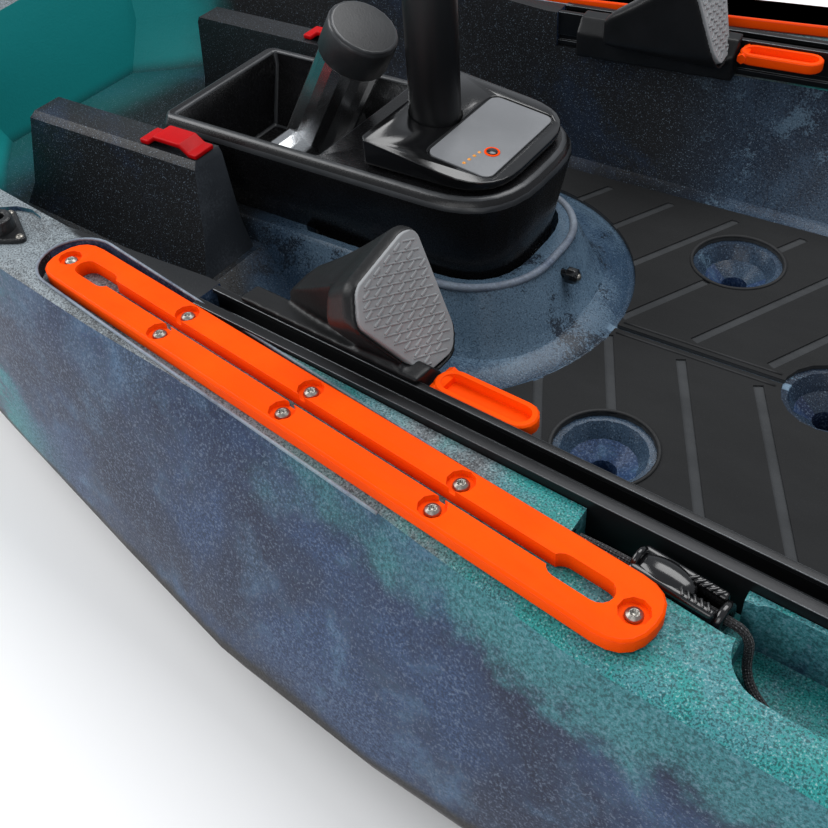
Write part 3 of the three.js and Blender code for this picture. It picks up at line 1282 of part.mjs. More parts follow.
function backCushion() {
  const low = seatCorner * 1.5 + backRail + cushionGap;
  const high = backHeight - backRail - cushionGap;
  const geometry = geometryOf(cushion((high - low) / 2, backHalf - backRail - cushionGap, backCushionThick, backChannels));
  geometry.applyMatrix4(new THREE.Matrix4().makeBasis(Z, Y, X.clone().negate()));
  return moved(solid(geometry), [0, 0, (high + low) / 2]);
}
place('back_cushion', backCushion(), 'fabric', [0, 0, 0], [0, 0, 0], back);

// Bow hatch lid: overhangs the coaming, plugs into it and swings on a barrel at its forward edge
function hatchLid() {
  const plate = prism(hatchOval(lidOverhang), lidBottom, lidBottom + lidThick, lidEase, 10);
  const dome = prism(hatchOval(-lidDomeInset), lidBottom + lidThick - lidEase, lidBottom + lidThick + lidDome, lidEase, 10);
  const plug = cut(prism(hatchOval(-coamingWall - lidPlugGap), lidBottom - lidPlugDepth, lidBottom + lidEase, 0, 10),
    prism(hatchOval(-coamingWall - lidPlugGap - lidPlugWall), lidBottom - overrun, lidBottom + lidEase / 2, 0, 10));
  const barrel = moved(rod(hingeBarrel, -hingeBarrelHalf, hingeBarrelHalf, 10), [hingeX - hatchX, 0, lidBottom + hingeLift], [Math.PI / 2, 0, 0]);
  const tongue = prism(rectangle(hatchHalfLength - hingeBarrel, hingeX - hatchX, -hingeBarrelHalf, hingeBarrelHalf),
    lidBottom + hingeLift - hingeBarrel / 2, lidBottom + hingeLift + hingeBarrel / 2);
  return join(plate, dome, plug, barrel, tongue);
}
place('hatch_lid', hatchLid(), 'moulding', [hatchX, 0, 0]);

// Hinge bracket: two ears on a foot against the coaming, with a pin through the barrel's ends
function hatchHinge() {
  const wide = hingeBarrelHalf + runGap + hingeEar;
  const foot = lidBottom - hingeFootDrop + hingeFootThick;
  const ear = acrossY(outline([[hingeX - hatchX - hingeBarrel, foot], [hingeX - hatchX + hingeBarrel, foot],
    [hingeX - hatchX + hingeBarrel, lidBottom + hingeLift + hingeBarrel / 2], [hingeX - hatchX + hingeBarrel / 2, lidBottom + hingeLift + hingeBarrel],
    [hingeX - hatchX - hingeBarrel / 2, lidBottom + hingeLift + hingeBarrel], [hingeX - hatchX - hingeBarrel, lidBottom + hingeLift + hingeBarrel / 2]]),
  hingeBarrelHalf + runGap, wide);
  const base = prism(rectangle(hatchHalfLength - hingeBarrel + seatGap * 2, hingeX - hatchX + hingeBarrel, -wide, wide),
    foot - hingeFootThick, foot + seatGap);
  return join(base, pair(ear));
}
place('hatch_hinge', hatchHinge(), 'moulding', [hatchX, 0, 0]);

// Turning dogs that hold the lid down
function hatchDog() {
  const plate = prism(stadium(dogLength, dogWidth), 0, dogThick, 0, 4);
  return join(moved(plate, [dogLength / 2 - dogWidth / 2, 0, 0]), rod(dogHub, 0, dogThick + lidEase / 2, 8));
}
placePair('hatch_dog', hatchDog(), 'moulding', [hatchX - dogAlong, dogPostOut(), coamingTop + lidThick + seatGap * 2], [0, 0, Math.PI]);

// Fixed carry handles on the bow and stern decks
function deckHandle() {
  const base = gripFootRadius / 2;
  const run = gripHalf - gripRadius;
  const path = bentPath([[0, -gripHalf, base], [0, -run, gripRise + base], [0, run, gripRise + base], [0, gripHalf, base]]
    .map((point) => new THREE.Vector3(...point)), gripRise / 2);
  const feet = pair(moved(turned([[0, 0], [gripFootRadius, 0], [gripFootRadius, base + gripFootRise],
    [gripRadius, base + gripFootRise * 2], [0, base + gripFootRise * 2]], 8), [0, gripHalf, 0]));
  return join(tube(path, gripRadius, 8, 10), feet);
}

// Hinged bail handle in ears on each side of the hull
function sideBail() {
  const path = bentPath([[-bailHalf, 0, 0], [-bailHalf, 0, -bailDrop], [bailHalf, 0, -bailDrop], [bailHalf, 0, 0]]
    .map((point) => new THREE.Vector3(...point)), bailGripRadius * 1.5);
  const grip = moved(rod(bailGripRadius, -bailGripHalf, bailGripHalf, 8), [0, 0, -bailDrop], [0, Math.PI / 2, 0]);
  const pins = join(...[-1, 1].map((end) => moved(rod(bailRadius, -earThick - bailRadius, earThick + bailRadius, 6), [end * bailHalf, 0, 0], [0, Math.PI / 2, 0])));
  return join(tube(path, bailRadius, 6, 12), grip, pins);
}
const bailPivotY = chineHalf(sideHandleX) + bailStand;
placePair('side_handle', sideBail(), 'moulding', [sideHandleX, bailPivotY, bailPivotZ]);

// Rod holder liners: flanged tubes closed at the bottom
function rodHolder() {
  return turned([[0, -rodDepth], [rodBore + rodWall, -rodDepth], [rodBore + rodWall, seatGap], [rodFlange, seatGap], [rodFlange, rodFlangeThick / 2],
    [rodFlange - rodFlangeThick / 2, rodFlangeThick], [rodBore, rodFlangeThick], [rodBore, -rodDepth + rodFloor], [0, -rodDepth + rodFloor]], 12);
}
placePair('rod_holder', rodHolder(), 'moulding', [rodX, rodY, gunwaleHeight - rodFlangeThick], [0, -radians(rodTilt), 0]);

// Drain plug in the stern
function drainPlug() {
  const head = turned([[0, 0], [plugRadius, 0], [plugRadius, plugHead / 2], [0, plugHead / 2]], 12);
  const grip = prism(stadium(plugRadius * 2 - runGap * 2, plugGripWidth), 0, plugHead, 0, 4);
  return join(head, grip);
}
place('drain_plug', drainPlug(), 'moulding', [-halfLength + plugSink - seatGap, 0, plugHeight], [0, -Math.PI / 2, 0]);

place('bow_handle', deckHandle(), 'moulding', [bowHandleX, 0, handleFoot(bowHandleX) + seatGap]);
place('stern_handle', deckHandle(), 'moulding', [sternHandleX, 0, handleFoot(sternHandleX) + seatGap]);

// Handle anchors: a strip let into the side of the hull with a bored ear at each end
function handleAnchor() {
  const inner = anchorInner - bailPivotY;
  const outer = -bailGripRadius - runGap;
  const strip = prism(rectangle(-anchorHalf, anchorHalf, inner + seatGap, outer), -earHeight / 2, earHeight / 2);
  const ear = alongX(outline([[outer - seatGap, -earHeight / 2], [outer - seatGap, earHeight / 2], [bailRadius, earHeight / 3],
    [bailRadius * 2, 0], [bailRadius, -earHeight / 3]]), 0, earThick);
  const bore = moved(rod(bailRadius + runGap, -anchorHalf, anchorHalf, 8), [0, 0, 0], [0, Math.PI / 2, 0]);
  return cut(join(strip, moved(ear, [-anchorHalf, 0, 0]), moved(ear, [anchorHalf - earThick, 0, 0])), bore);
}
placePair('handle_anchor', handleAnchor(), 'moulding', [sideHandleX, bailPivotY, bailPivotZ]);

export default kayak;
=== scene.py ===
"""Fishing kayak: finishes, refined pieces, cord and cushions dressed over the fixed frame."""
import json
import math
import bmesh
import bpy
from mathutils import Matrix, Vector


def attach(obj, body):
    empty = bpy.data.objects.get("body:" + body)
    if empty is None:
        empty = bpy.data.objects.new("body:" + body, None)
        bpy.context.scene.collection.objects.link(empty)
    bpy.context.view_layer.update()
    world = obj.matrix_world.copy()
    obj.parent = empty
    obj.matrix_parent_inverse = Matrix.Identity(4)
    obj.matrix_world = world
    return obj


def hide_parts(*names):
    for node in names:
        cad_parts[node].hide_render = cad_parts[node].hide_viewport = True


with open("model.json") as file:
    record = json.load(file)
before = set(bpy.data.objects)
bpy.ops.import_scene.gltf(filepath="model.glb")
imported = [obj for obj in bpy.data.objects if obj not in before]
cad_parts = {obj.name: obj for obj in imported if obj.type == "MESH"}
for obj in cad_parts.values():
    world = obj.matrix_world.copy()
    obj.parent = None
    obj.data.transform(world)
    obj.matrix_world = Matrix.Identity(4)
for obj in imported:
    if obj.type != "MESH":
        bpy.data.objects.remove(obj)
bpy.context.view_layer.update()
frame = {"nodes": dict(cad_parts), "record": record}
NODES = frame["nodes"]
SCENE = bpy.context.scene
MM = Matrix.Scale(0.001, 4)
SIDES = (("port", 1), ("starboard", -1))

# ------------------------------------------------ camera
LENS = 45.72
PITCH = math.radians(43.38)
ROLL = math.radians(-4.93)
CAMERA_SPOT = (0.330, 0.733, 0.7847)
camera_data = bpy.data.cameras.new("camera")
camera = bpy.data.objects.new("camera", camera_data)
SCENE.collection.objects.link(camera)
camera_data.sensor_width = 36.0
camera_data.lens = LENS
camera_data.clip_end = 60.0
heading = Vector((0.5994, -0.8004, 0.0))
right = Vector((-0.8004, -0.5994, 0.0))
up = Vector((0.0, 0.0, 1.0))
forward = heading * math.cos(PITCH) - up * math.sin(PITCH)
down = -heading * math.sin(PITCH) - up * math.cos(PITCH)
image_x = right * math.cos(ROLL) - down * math.sin(ROLL)
image_down = right * math.sin(ROLL) + down * math.cos(ROLL)
turn = Matrix((image_x, -image_down, -forward)).transposed().to_4x4()
camera.matrix_world = Matrix.Translation(CAMERA_SPOT) @ turn
SCENE.camera = camera


# ------------------------------------------------ helpers
def linear(hex_colour):
    """A screen colour, as six hex digits, as the linear one that the shaders take."""
    parts = [int(hex_colour[i:i + 2], 16) / 255 for i in (0, 2, 4)]
    return tuple(c / 12.92 if c <= 0.04045 else ((c + 0.055) / 1.055) ** 2.4 for c in parts) + (1.0,)


def finished(name, mesh_builder, body, material, replaces=(), smooth=True):
    """A new piece from a bmesh, riding on its body with its slot and finish."""
    mesh = bpy.data.meshes.new(name)
    mesh_builder.to_mesh(mesh)
    mesh_builder.free()
    piece = bpy.data.objects.new(name, mesh)
    SCENE.collection.objects.link(piece)
    mesh.materials.append(material)
    for polygon in mesh.polygons:
        polygon.use_smooth = smooth
    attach(piece, body)
    if replaces:
        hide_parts(*replaces)
    return piece


def soften(piece, width, segments=2, angle=32.0, edge_slot=-1):
    """Rounds a piece's edges and keeps its flats flat."""
    bevel = piece.modifiers.new("rounded_edges", "BEVEL")
    bevel.width = width
    bevel.segments = segments
    bevel.limit_method = "ANGLE"
    bevel.angle_limit = math.radians(angle)
    bevel.harden_normals = True
    bevel.miter_outer = "MITER_ARC"
    bevel.material = edge_slot
    return piece


def copy_of(node):
    """A node's mesh, merged, as a bmesh."""
    build = bmesh.new()
    build.from_mesh(NODES[node].data)
    bmesh.ops.remove_doubles(build, verts=build.verts, dist=2e-6)
    return build


def refined(node, material, width, segments=2, angle=32.0, body="hull", edge_material=None):
    """A node's own shape with rounded edges and smooth shading, in its place."""
    build = copy_of(node)
    bmesh.ops.dissolve_limit(build, angle_limit=math.radians(0.6), verts=build.verts, edges=build.edges)
    piece = finished(f"{node}_body", build, body, material, (node,))
    if edge_material:
        piece.data.materials.append(edge_material)
    return soften(piece, width, segments, angle, 1 if edge_material else -1)


def round_edges(build, geom, offset, segments, affect="EDGES"):
    """Cuts edges or corners round."""
    bmesh.ops.bevel(build, geom=geom, offset=offset, offset_type="OFFSET", segments=segments, profile=0.5,
                    affect=affect, material=-1, clamp_overlap=True)


def drawn_out(build, faces, offset):
    """Extrudes faces by an offset and returns the new points."""
    grown_geometry = bmesh.ops.extrude_face_region(build, geom=faces)["geom"]
    moved = [item for item in grown_geometry if isinstance(item, bmesh.types.BMVert)]
    bmesh.ops.translate(build, vec=offset, verts=moved)
    return moved


def hoop_section(radius, wire, sides):
    """The closed section of a hoop, to be turned."""
    return [(radius + wire * math.cos(a), wire * math.sin(a)) for a in
            (2 * math.pi * k / sides for k in range(sides + 1))]


def spun(profile, segments=64):
    """A turned form from a profile of radius and height."""
    build = bmesh.new()
    points = [build.verts.new((radius, 0.0, height)) for radius, height in profile]
    edges = [build.edges.new(pair) for pair in zip(points, points[1:])]
    bmesh.ops.spin(build, geom=points + edges, cent=(0, 0, 0), axis=(0, 0, 1), angle=2 * math.pi,
                   steps=segments, use_merge=True)
    bmesh.ops.remove_doubles(build, verts=build.verts, dist=1e-6)
    bmesh.ops.recalc_face_normals(build, faces=build.faces)
    return build


def shift(build, offset):
    bmesh.ops.translate(build, vec=offset, verts=build.verts)
    return build


def placed(build, matrix):
    bmesh.ops.transform(build, matrix=matrix, verts=build.verts)
    return build


def merge_into(target, part):
    """Adds one bmesh to another."""
    mesh = bpy.data.meshes.new("joined_part")
    part.to_mesh(mesh)
    part.free()
    target.from_mesh(mesh)
    bpy.data.meshes.remove(mesh)
    return target


# ------------------------------------------------ finishes
class Finish:
    """A procedural material, built node by node."""

    def __init__(self, name, roughness=0.5, metallic=0.0, coat=0.0, coat_roughness=0.1, specular=0.5,
                 sheen=0.0):
        self.material = bpy.data.materials.new(name)
        self.material.use_nodes = True
        self.tree = self.material.node_tree
        self.shader = self.tree.nodes["Principled BSDF"]
        for key, value in (("Roughness", roughness), ("Metallic", metallic), ("Coat Weight", coat),
                           ("Coat Roughness", coat_roughness), ("Specular IOR Level", specular),
                           ("Sheen Weight", sheen)):
            self.shader.inputs[key].default_value = value
        self.place = self.tree.nodes.new("ShaderNodeTexCoord").outputs["Object"]

    def feed(self, value, target):
        """Links another node's output to a socket, or sets the socket to a plain value."""
        if hasattr(value, "is_linked"):
            self.tree.links.new(value, target)
        else:
            target.default_value = linear(value) if isinstance(value, str) else value

    def node(self, kind, inputs=None, **settings):
        made = self.tree.nodes.new(kind)
        for key, value in settings.items():
            setattr(made, key, value)
        for key, value in (inputs or {}).items():
            self.feed(value, made.inputs[key])
        return made

    def stretched(self, scale):
        return self.node("ShaderNodeMapping", {"Vector": self.place, "Scale": scale}).outputs["Vector"]

    def noise(self, scale, detail=4.0, roughness=0.55, distortion=0.0, where=None):
        settings = {"Vector": where or self.place, "Scale": scale, "Detail": detail, "Roughness": roughness,
                    "Distortion": distortion}
        return self.node("ShaderNodeTexNoise", settings).outputs["Fac"]

    def math(self, operation, a, b=0.5):
        return self.node("ShaderNodeMath", {0: a, 1: b}, operation=operation).outputs["Value"]

    def times(self, a, b):
        return self.math("MULTIPLY", a, b)

    def plus(self, a, b):
        return self.math("ADD", a, b)

    def minus(self, a, b):
        return self.math("SUBTRACT", a, b)

    def ramp(self, fac, stops):
        made = self.node("ShaderNodeMapRange", {"Value": fac, "From Min": stops[0], "From Max": stops[1]},
                         interpolation_type="SMOOTHSTEP")
        return made.outputs["Result"]

    def mix(self, fac, a, b):
        made = self.node("ShaderNodeMix", {"Factor": fac}, data_type="RGBA")
        for socket, value in (("A", a), ("B", b)):
            target = [s for s in made.inputs if s.name == socket and s.type == "RGBA"][0]
            self.feed(value, target)
        return [s for s in made.outputs if s.type == "RGBA"][0]

    def axis(self, letter, source=None):
        made = self.node("ShaderNodeSeparateXYZ", {"Vector": source or self.place})
        return made.outputs[letter]

    def colour(self, value):
        self.feed(value, self.shader.inputs["Base Color"])

    def rough(self, fac, low, high):
        made = self.node("ShaderNodeMapRange", {"Value": fac, "To Min": low, "To Max": high})
        self.feed(made.outputs["Result"], self.shader.inputs["Roughness"])

    def bump(self, height, distance, strength):
        before = self.shader.inputs["Normal"]
        made = self.node("ShaderNodeBump", {"Height": height, "Distance": distance, "Strength": strength})
        if before.is_linked:
            self.feed(before.links[0].from_socket, made.inputs["Normal"])
        self.feed(made.outputs["Normal"], before)


NAVY = "1f2d49"
INDIGO = "2c4265"
STEEL = "4a6886"
TEAL = "1c8f90"
PALE_TEAL = "3f8286"
INK = "0d0f14"
FOOTWELL_SHADE = "1c1d1f"
WELL_BLUE = "35475a"


def hull_finish(name, wear_and_painted_highlight=0.0):
    """Moulded plastic in sprayed patches of navy, steel and teal, broken up by dark and pale grains."""
    f = Finish(name, roughness=0.42, specular=0.24)
    x, y, z = (f.axis(letter) for letter in "XYZ")
    grain = f.noise(430.0, detail=2.0, roughness=0.75)
    fleck = f.noise(760.0, detail=1.5, roughness=0.6)
    cloud = f.noise(6.0, detail=8.0, roughness=0.62, distortion=0.4)
    drift = f.noise(15.0, detail=7.0, roughness=0.68, distortion=0.25)
    loose = f.times(f.minus(grain, 0.5), 0.3)
    patch = f.plus(cloud, loose)
    small = f.plus(drift, loose)
    # outer side: navy below, steel clouds above, teal under the gunwale towards the stern
    side = f.mix(f.ramp(patch, (0.44, 0.54)), NAVY, INDIGO)
    side = f.mix(f.times(f.ramp(f.plus(small, f.times(z, 0.5)), (0.62, 0.7)), 0.75), side, STEEL)
    deep = f.ramp(f.minus(patch, f.times(z, 0.4)), (0.5, 0.42))
    side = f.mix(f.times(deep, 0.5), side, "20283f")
    aft = f.ramp(f.plus(x, f.times(f.minus(cloud, 0.5), 0.9)), (0.74, 0.5))
    high = f.ramp(f.plus(z, f.times(f.minus(drift, 0.5), 0.16)), (0.232, 0.272))
    side = f.mix(f.times(f.times(aft, high), 0.8), side, PALE_TEAL)
    wave = f.math("SINE", f.times(f.minus(x, 0.2), 4.4))
    far = f.ramp(f.plus(patch, f.times(wave, -0.07)), (0.555, 0.6))
    away = f.ramp(f.math("ABSOLUTE", f.minus(x, 0.55)), (0.42, 0.62))
    side = f.mix(f.times(far, away), side, TEAL)
    side = f.mix(f.times(f.ramp(f.minus(1.0, patch), (0.6, 0.64)), away), side, INK)
    side = f.mix(f.ramp(grain, (0.5, 0.6)), side, f.mix(0.5, side, INK))
    side = f.mix(f.ramp(grain, (0.46, 0.36)), side, f.mix(0.2, side, "9fb2c6"))
    # top of the gunwale: coarser black and pale specks, greyer ahead and greener behind
    green = f.mix(f.ramp(small, (0.44, 0.56)), "3f7e84", "258583")
    strip = f.mix(aft, "7d868b", green)
    strip = f.mix(f.times(f.ramp(patch, (0.5, 0.62)), f.minus(1.0, aft)), strip, "53575a")
    strip = f.mix(f.ramp(fleck, (0.52, 0.6)), strip, f.mix(0.62, strip, INK))
    strip = f.mix(f.ramp(fleck, (0.4, 0.3)), strip, f.mix(0.3, strip, "cdd6d8"))
    top = f.node("ShaderNodeAttribute", attribute_name="gunwale_top").outputs["Fac"]
    body = f.mix(top, side, strip)
    inboard = f.plus(f.math("ABSOLUTE", y), f.times(f.minus(x, 0.708), 0.1598))
    beside = f.times(f.ramp(x, (0.76, 0.82)), f.ramp(x, (1.03, 0.99)))
    shaded = f.times(f.ramp(inboard, (0.341, 0.335)), beside)
    body = f.mix(f.times(shaded, top), body, "15171a")
    # nearly black under the chine
    under = f.ramp(f.plus(z, f.times(f.minus(patch, 0.5), 0.03)), (0.094, 0.083))
    body = f.mix(under, body, "242120")
    # inside the wells: charcoal ahead, a painted shade in the deep footwell, blue steel round the motor,
    # navy elsewhere
    inner = f.node("ShaderNodeAttribute", attribute_name="well").outputs["Fac"]
    ahead = f.ramp(x, (0.6, 0.72))
    across = f.minus(x, 0.825)
    reach = f.plus(f.times(across, across), f.times(y, y))
    near_motor = f.times(f.ramp(reach, (0.044, 0.034)), f.ramp(x, (1.02, 0.95)))
    well = f.mix(f.ramp(patch, (0.44, 0.6)), "232e3d", WELL_BLUE)
    well = f.mix(f.ramp(small, (0.57, 0.64)), well, "4f6577")
    well = f.mix(ahead, well, f.mix(f.ramp(patch, (0.5, 0.66)), FOOTWELL_SHADE, "1f2939"))
    seat = f.mix(f.ramp(patch, (0.4, 0.56)), "31455a", "53697c")
    seat = f.mix(f.ramp(small, (0.45, 0.38)), seat, "222c38")
    well = f.mix(near_motor, well, seat)
    well = f.mix(f.ramp(fleck, (0.56, 0.64)), well, f.mix(0.6, well, INK))
    well = f.mix(f.times(f.ramp(fleck, (0.38, 0.3)), 0.5), well, "8396a6")
    bow = f.times(f.ramp(f.plus(x, f.times(cloud, 0.1)), (1.30, 1.36)), f.ramp(z, (0.2, 0.225)))
    well = f.mix(bow, well, TEAL)
    # painted light: the aft-facing ends of the cheeks are lighter grey than the shaded footwell around them
    facing = f.node("ShaderNodeAttribute", attribute_name="facing_aft").outputs["Fac"]
    well = f.mix(facing, well, f.mix(f.ramp(patch, (0.4, 0.6)), "2c3035", "43484e"))
    # the hull floor in the seam between the mats: its own blue steel, painted paler as a painted highlight
    # in place of the gap's shade
    at_floor = f.times(f.ramp(z, (0.149, 0.147)), f.ramp(z, (0.1445, 0.1455)))
    seam_highlight = f.times(f.ramp(f.math("ABSOLUTE", y), (0.005, 0.0035)), at_floor)
    well = f.mix(seam_highlight, well, "6b8296")
    body = f.mix(inner, body, well)
    # painted highlight: pale patches over the rounded-edge copy, in place of light caught by the edges
    if wear_and_painted_highlight:
        body = f.mix(f.times(f.ramp(drift, (0.2, 0.62)), wear_and_painted_highlight), body, "b4bcc2")
    f.colour(body)
    shine = f.times(inner, f.minus(0.42, f.times(f.minus(ahead, near_motor), 0.4)))
    gloss = f.minus(f.plus(grain, f.times(top, 0.2)), shine)
    f.rough(gloss, 0.26, 0.58)
    f.bump(grain, 0.0006, 0.45)
    f.bump(f.noise(60.0, detail=3.0), 0.0007, 0.3)
    return f.material


def mat_finish():
    """Closed-cell foam, black on top and greyer where a groove is cut into it."""
    f = Finish("floor_mat_foam", roughness=0.82, specular=0.3)
    z = f.axis("Z")
    grain = f.noise(700.0, detail=3.0, roughness=0.7)
    wear = f.noise(9.0, detail=6.0, roughness=0.65, where=f.stretched((1.0, 2.4, 1.0)))
    face = f.mix(f.ramp(wear, (0.3, 0.8)), "191a1b", "1f2021")
    face = f.mix(f.ramp(grain, (0.62, 0.74)), face, "2b2c2e")
    groove = f.ramp(z, (0.1499, 0.1492))
    f.colour(f.mix(groove, face, f.mix(f.ramp(wear, (0.3, 0.7)), "303234", "3c3e40")))
    f.bump(grain, 0.0005, 0.6)
    f.bump(f.noise(90.0, detail=3.0), 0.0005, 0.3)
    return f.material


def plastic_finish(name, base, lift, roughness=0.45, grain_scale=520.0, grain_height=0.00025, coat=0.0,
                   specular=0.5):
    """Moulded plastic with a fine spark-eroded grain and slight clouding."""
    f = Finish(name, roughness=roughness, coat=coat, coat_roughness=0.12, specular=specular)
    cloud = f.noise(14.0, detail=5.0, roughness=0.6)
    grain = f.noise(grain_scale, detail=2.0, roughness=0.65)
    scuff = f.noise(70.0, detail=6.0, roughness=0.7, where=f.stretched((1.0, 4.0, 1.0)))
    shade = f.mix(f.ramp(cloud, (0.35, 0.7)), base, lift)
    f.colour(f.mix(f.times(f.ramp(scuff, (0.62, 0.78)), 0.25), shade, lift))
    wear_and_painted_highlight = f.plus(f.times(grain, 0.4), f.times(scuff, 0.6))
    f.rough(wear_and_painted_highlight, roughness - 0.1, roughness + 0.12)
    f.bump(grain, grain_height, 0.6)
    return f.material


def metal_finish(name, base, roughness, stretch, metallic=1.0, scratch=0.00006):
    """Drawn or anodised metal with fine lines along its length."""
    base = linear(base)
    f = Finish(name, roughness=roughness, metallic=metallic)
    lines = f.noise(260.0, detail=4.0, roughness=0.7, where=f.stretched(stretch))
    cloud = f.noise(18.0, detail=4.0)
    dark = tuple(c * 0.72 for c in base[:3]) + (1.0,)
    f.colour(f.mix(f.ramp(cloud, (0.3, 0.75)), dark, base))
    f.rough(lines, max(roughness - 0.08, 0.04), roughness + 0.14)
    f.bump(lines, scratch, 0.5)
    return f.material


def cord_finish():
    """Braided cord: two sets of strands crossing, with a few pale flecks; reads the cord's own UV map."""
    f = Finish("pull_cord_braid", roughness=0.7, sheen=0.15)
    uv = f.node("ShaderNodeUVMap", uv_map="along").outputs["UV"]
    along, around = f.axis("X", uv), f.axis("Y", uv)
    turns = f.times(around, 6.0)
    left = f.math("SINE", f.times(f.plus(along, turns), 2 * math.pi))
    right_hand = f.math("SINE", f.times(f.minus(along, turns), 2 * math.pi))
    weave = f.times(left, right_hand)
    strand = f.ramp(weave, (-0.3, 0.5))
    half_turn = f.math("SINE", f.times(f.plus(along, turns), math.pi))
    fleck = f.math("GREATER_THAN", f.times(half_turn, right_hand), 0.86)
    f.colour(f.mix(fleck, f.mix(strand, "0a0a0b", "26272a"), "6f7275"))
    f.bump(weave, 0.0006, 0.8)
    return f.material


def fabric_finish(name, base, lift, scale=900.0):
    """Coarse woven outdoor cloth."""
    f = Finish(name, roughness=0.9, sheen=0.25, specular=0.2)
    y, z, x = f.axis("Y"), f.axis("Z"), f.axis("X")
    warp = f.math("SINE", f.times(y, scale * 2))
    weft = f.math("SINE", f.times(f.plus(x, z), scale * 2))
    weave = f.times(warp, weft)
    fuzz = f.noise(1200.0, detail=2.0)
    tone = f.noise(8.0, detail=4.0)
    f.colour(f.mix(f.times(f.ramp(weave, (-0.4, 0.7)), f.ramp(tone, (0.2, 0.8))), base, lift))
    f.bump(weave, 0.0004, 0.6)
    f.bump(fuzz, 0.0003, 0.5)
    return f.material


HULL = hull_finish("hull_moulded_patches")
# copy of the hull finish for rounded edges and lips, with a pale painted highlight
HULL_EDGE_HIGHLIGHT = hull_finish("hull_worn_edges", 0.42)
MAT = mat_finish()
MAT_RIB = plastic_finish("mat_rib_foam", "1c1d1e", "2a2b2d", 0.6, 700.0, 0.0002, specular=0.3)
PEBBLED = plastic_finish("pebbled_black", "121314", "1e1f21", 0.3, 330.0, 0.0012, specular=0.5)
ORANGE = plastic_finish("plate_orange", "f64a01", "f85102", 0.55, 620.0, 0.00015, specular=0.05)
# painted shade: redder, darker orange on the plate's rounded edges
ORANGE_EDGE_SHADE = plastic_finish("plate_orange_edges", "f23a02", "fb4406", 0.42, 620.0, 0.00015, specular=0.3)
MOULDING = plastic_finish("moulded_black", "1d1e20", "27292b", 0.4, 480.0, 0.0003, specular=0.4)
# painted highlight: lighter black on the mouldings' rounded edges
MOULDING_EDGE_HIGHLIGHT = plastic_finish("moulded_black_edges", "2c2e30", "3c3e41", 0.3, 480.0, 0.0001)
PAD = plastic_finish("pad_grey", "8a8c8e", "96989a", 0.62, 420.0, 0.0003, specular=0.3)
BRACE_BLACK = plastic_finish("brace_satin_black", "101112", "17181a", 0.38, 560.0, 0.0002, specular=0.26)
AMBER = plastic_finish("lamp_amber", "d98a1e", "e39a30", 0.25, 300.0, 0.00003)
GLOSS = plastic_finish("gloss_black", "0b0b0c", "111214", 0.16, 300.0, 0.00006, coat=0.4)
RED = plastic_finish("strap_red", "a80208", "ba060c", 0.42, specular=0.12)
MOTOR_BLACK = plastic_finish("motor_black", "0c0c0d", "121214", 0.26, 420.0, 0.0001, specular=0.4)
TRACK = metal_finish("track_anodised", "202123", 0.34, (1.0, 30.0, 30.0), metallic=0.6)
# painted highlight: light grey on the track's rounded edges
TRACK_EDGE_HIGHLIGHT = metal_finish("track_bright_edges", "6d7073", 0.3, (1.0, 30.0, 30.0), metallic=0.8)
SILVER = metal_finish("tube_silver", "cfd1d3", 0.2, (30.0, 30.0, 1.0))
STEEL_HEAD = metal_finish("screw_steel", "a9a59d", 0.34, (6.0, 6.0, 6.0), scratch=0.00001)
CORD = cord_finish()
SEAT_CLOTH = fabric_finish("seat_cloth", "1d1f22", "34373b")
SEAM_CLOTH = fabric_finish("seam_piping", "3a3e42", "50555a", 1500.0)
PANEL = plastic_finish("bare_panel_grey", "707275", "7b7d80", 0.32, 900.0, 0.0001)

SLOT_FINISH = {"hull": HULL, "mat": MAT, "track": TRACK, "plate": ORANGE, "moulding": MOULDING,
               "gloss": GLOSS, "pad": PAD, "silver": SILVER, "red": RED, "cord": CORD, "fabric": SEAT_CLOTH,
               "prop": MOULDING}
# copies for rounded edges: painted highlights, and painted shade on the orange plate
EDGE_PAINTED_LIGHT = {"hull": HULL_EDGE_HIGHLIGHT, "track": TRACK_EDGE_HIGHLIGHT, "moulding": MOULDING_EDGE_HIGHLIGHT, "plate": ORANGE_EDGE_SHADE}
SLOT_OF = {part["node"]: part["material_slot"] for part in frame["record"]["subparts"]}
BODY_OF = {node: body for body, nodes in frame["record"]["behaviour"]["bodies"].items() for node in nodes}
EDGE_WIDTH = {"release_lever": 0.0015, "slotted_plate": 0.0014, "motor_housing": 0.003, "motor_cover": 0.003,
              "gear_track": 0.0005, "release_strap": 0.0015, "lever_cap": 0.002, "column_cap": 0.002,
              "rod_holder": 0.001, "hatch_lid": 0.002, "hatch_hinge": 0.001, "hatch_dog": 0.001,
              "handle_anchor": 0.0015}
USUAL_EDGE, HULL_ROUNDING, MAT_ROUNDING = 0.0008, 0.0032, 0.0011
for node, thing in NODES.items():
    thing.data.materials.clear()
    thing.data.materials.append(SLOT_FINISH[SLOT_OF[node]])
    for polygon in thing.data.polygons:
        polygon.use_smooth = SLOT_OF[node] in ("silver", "cord", "fabric")


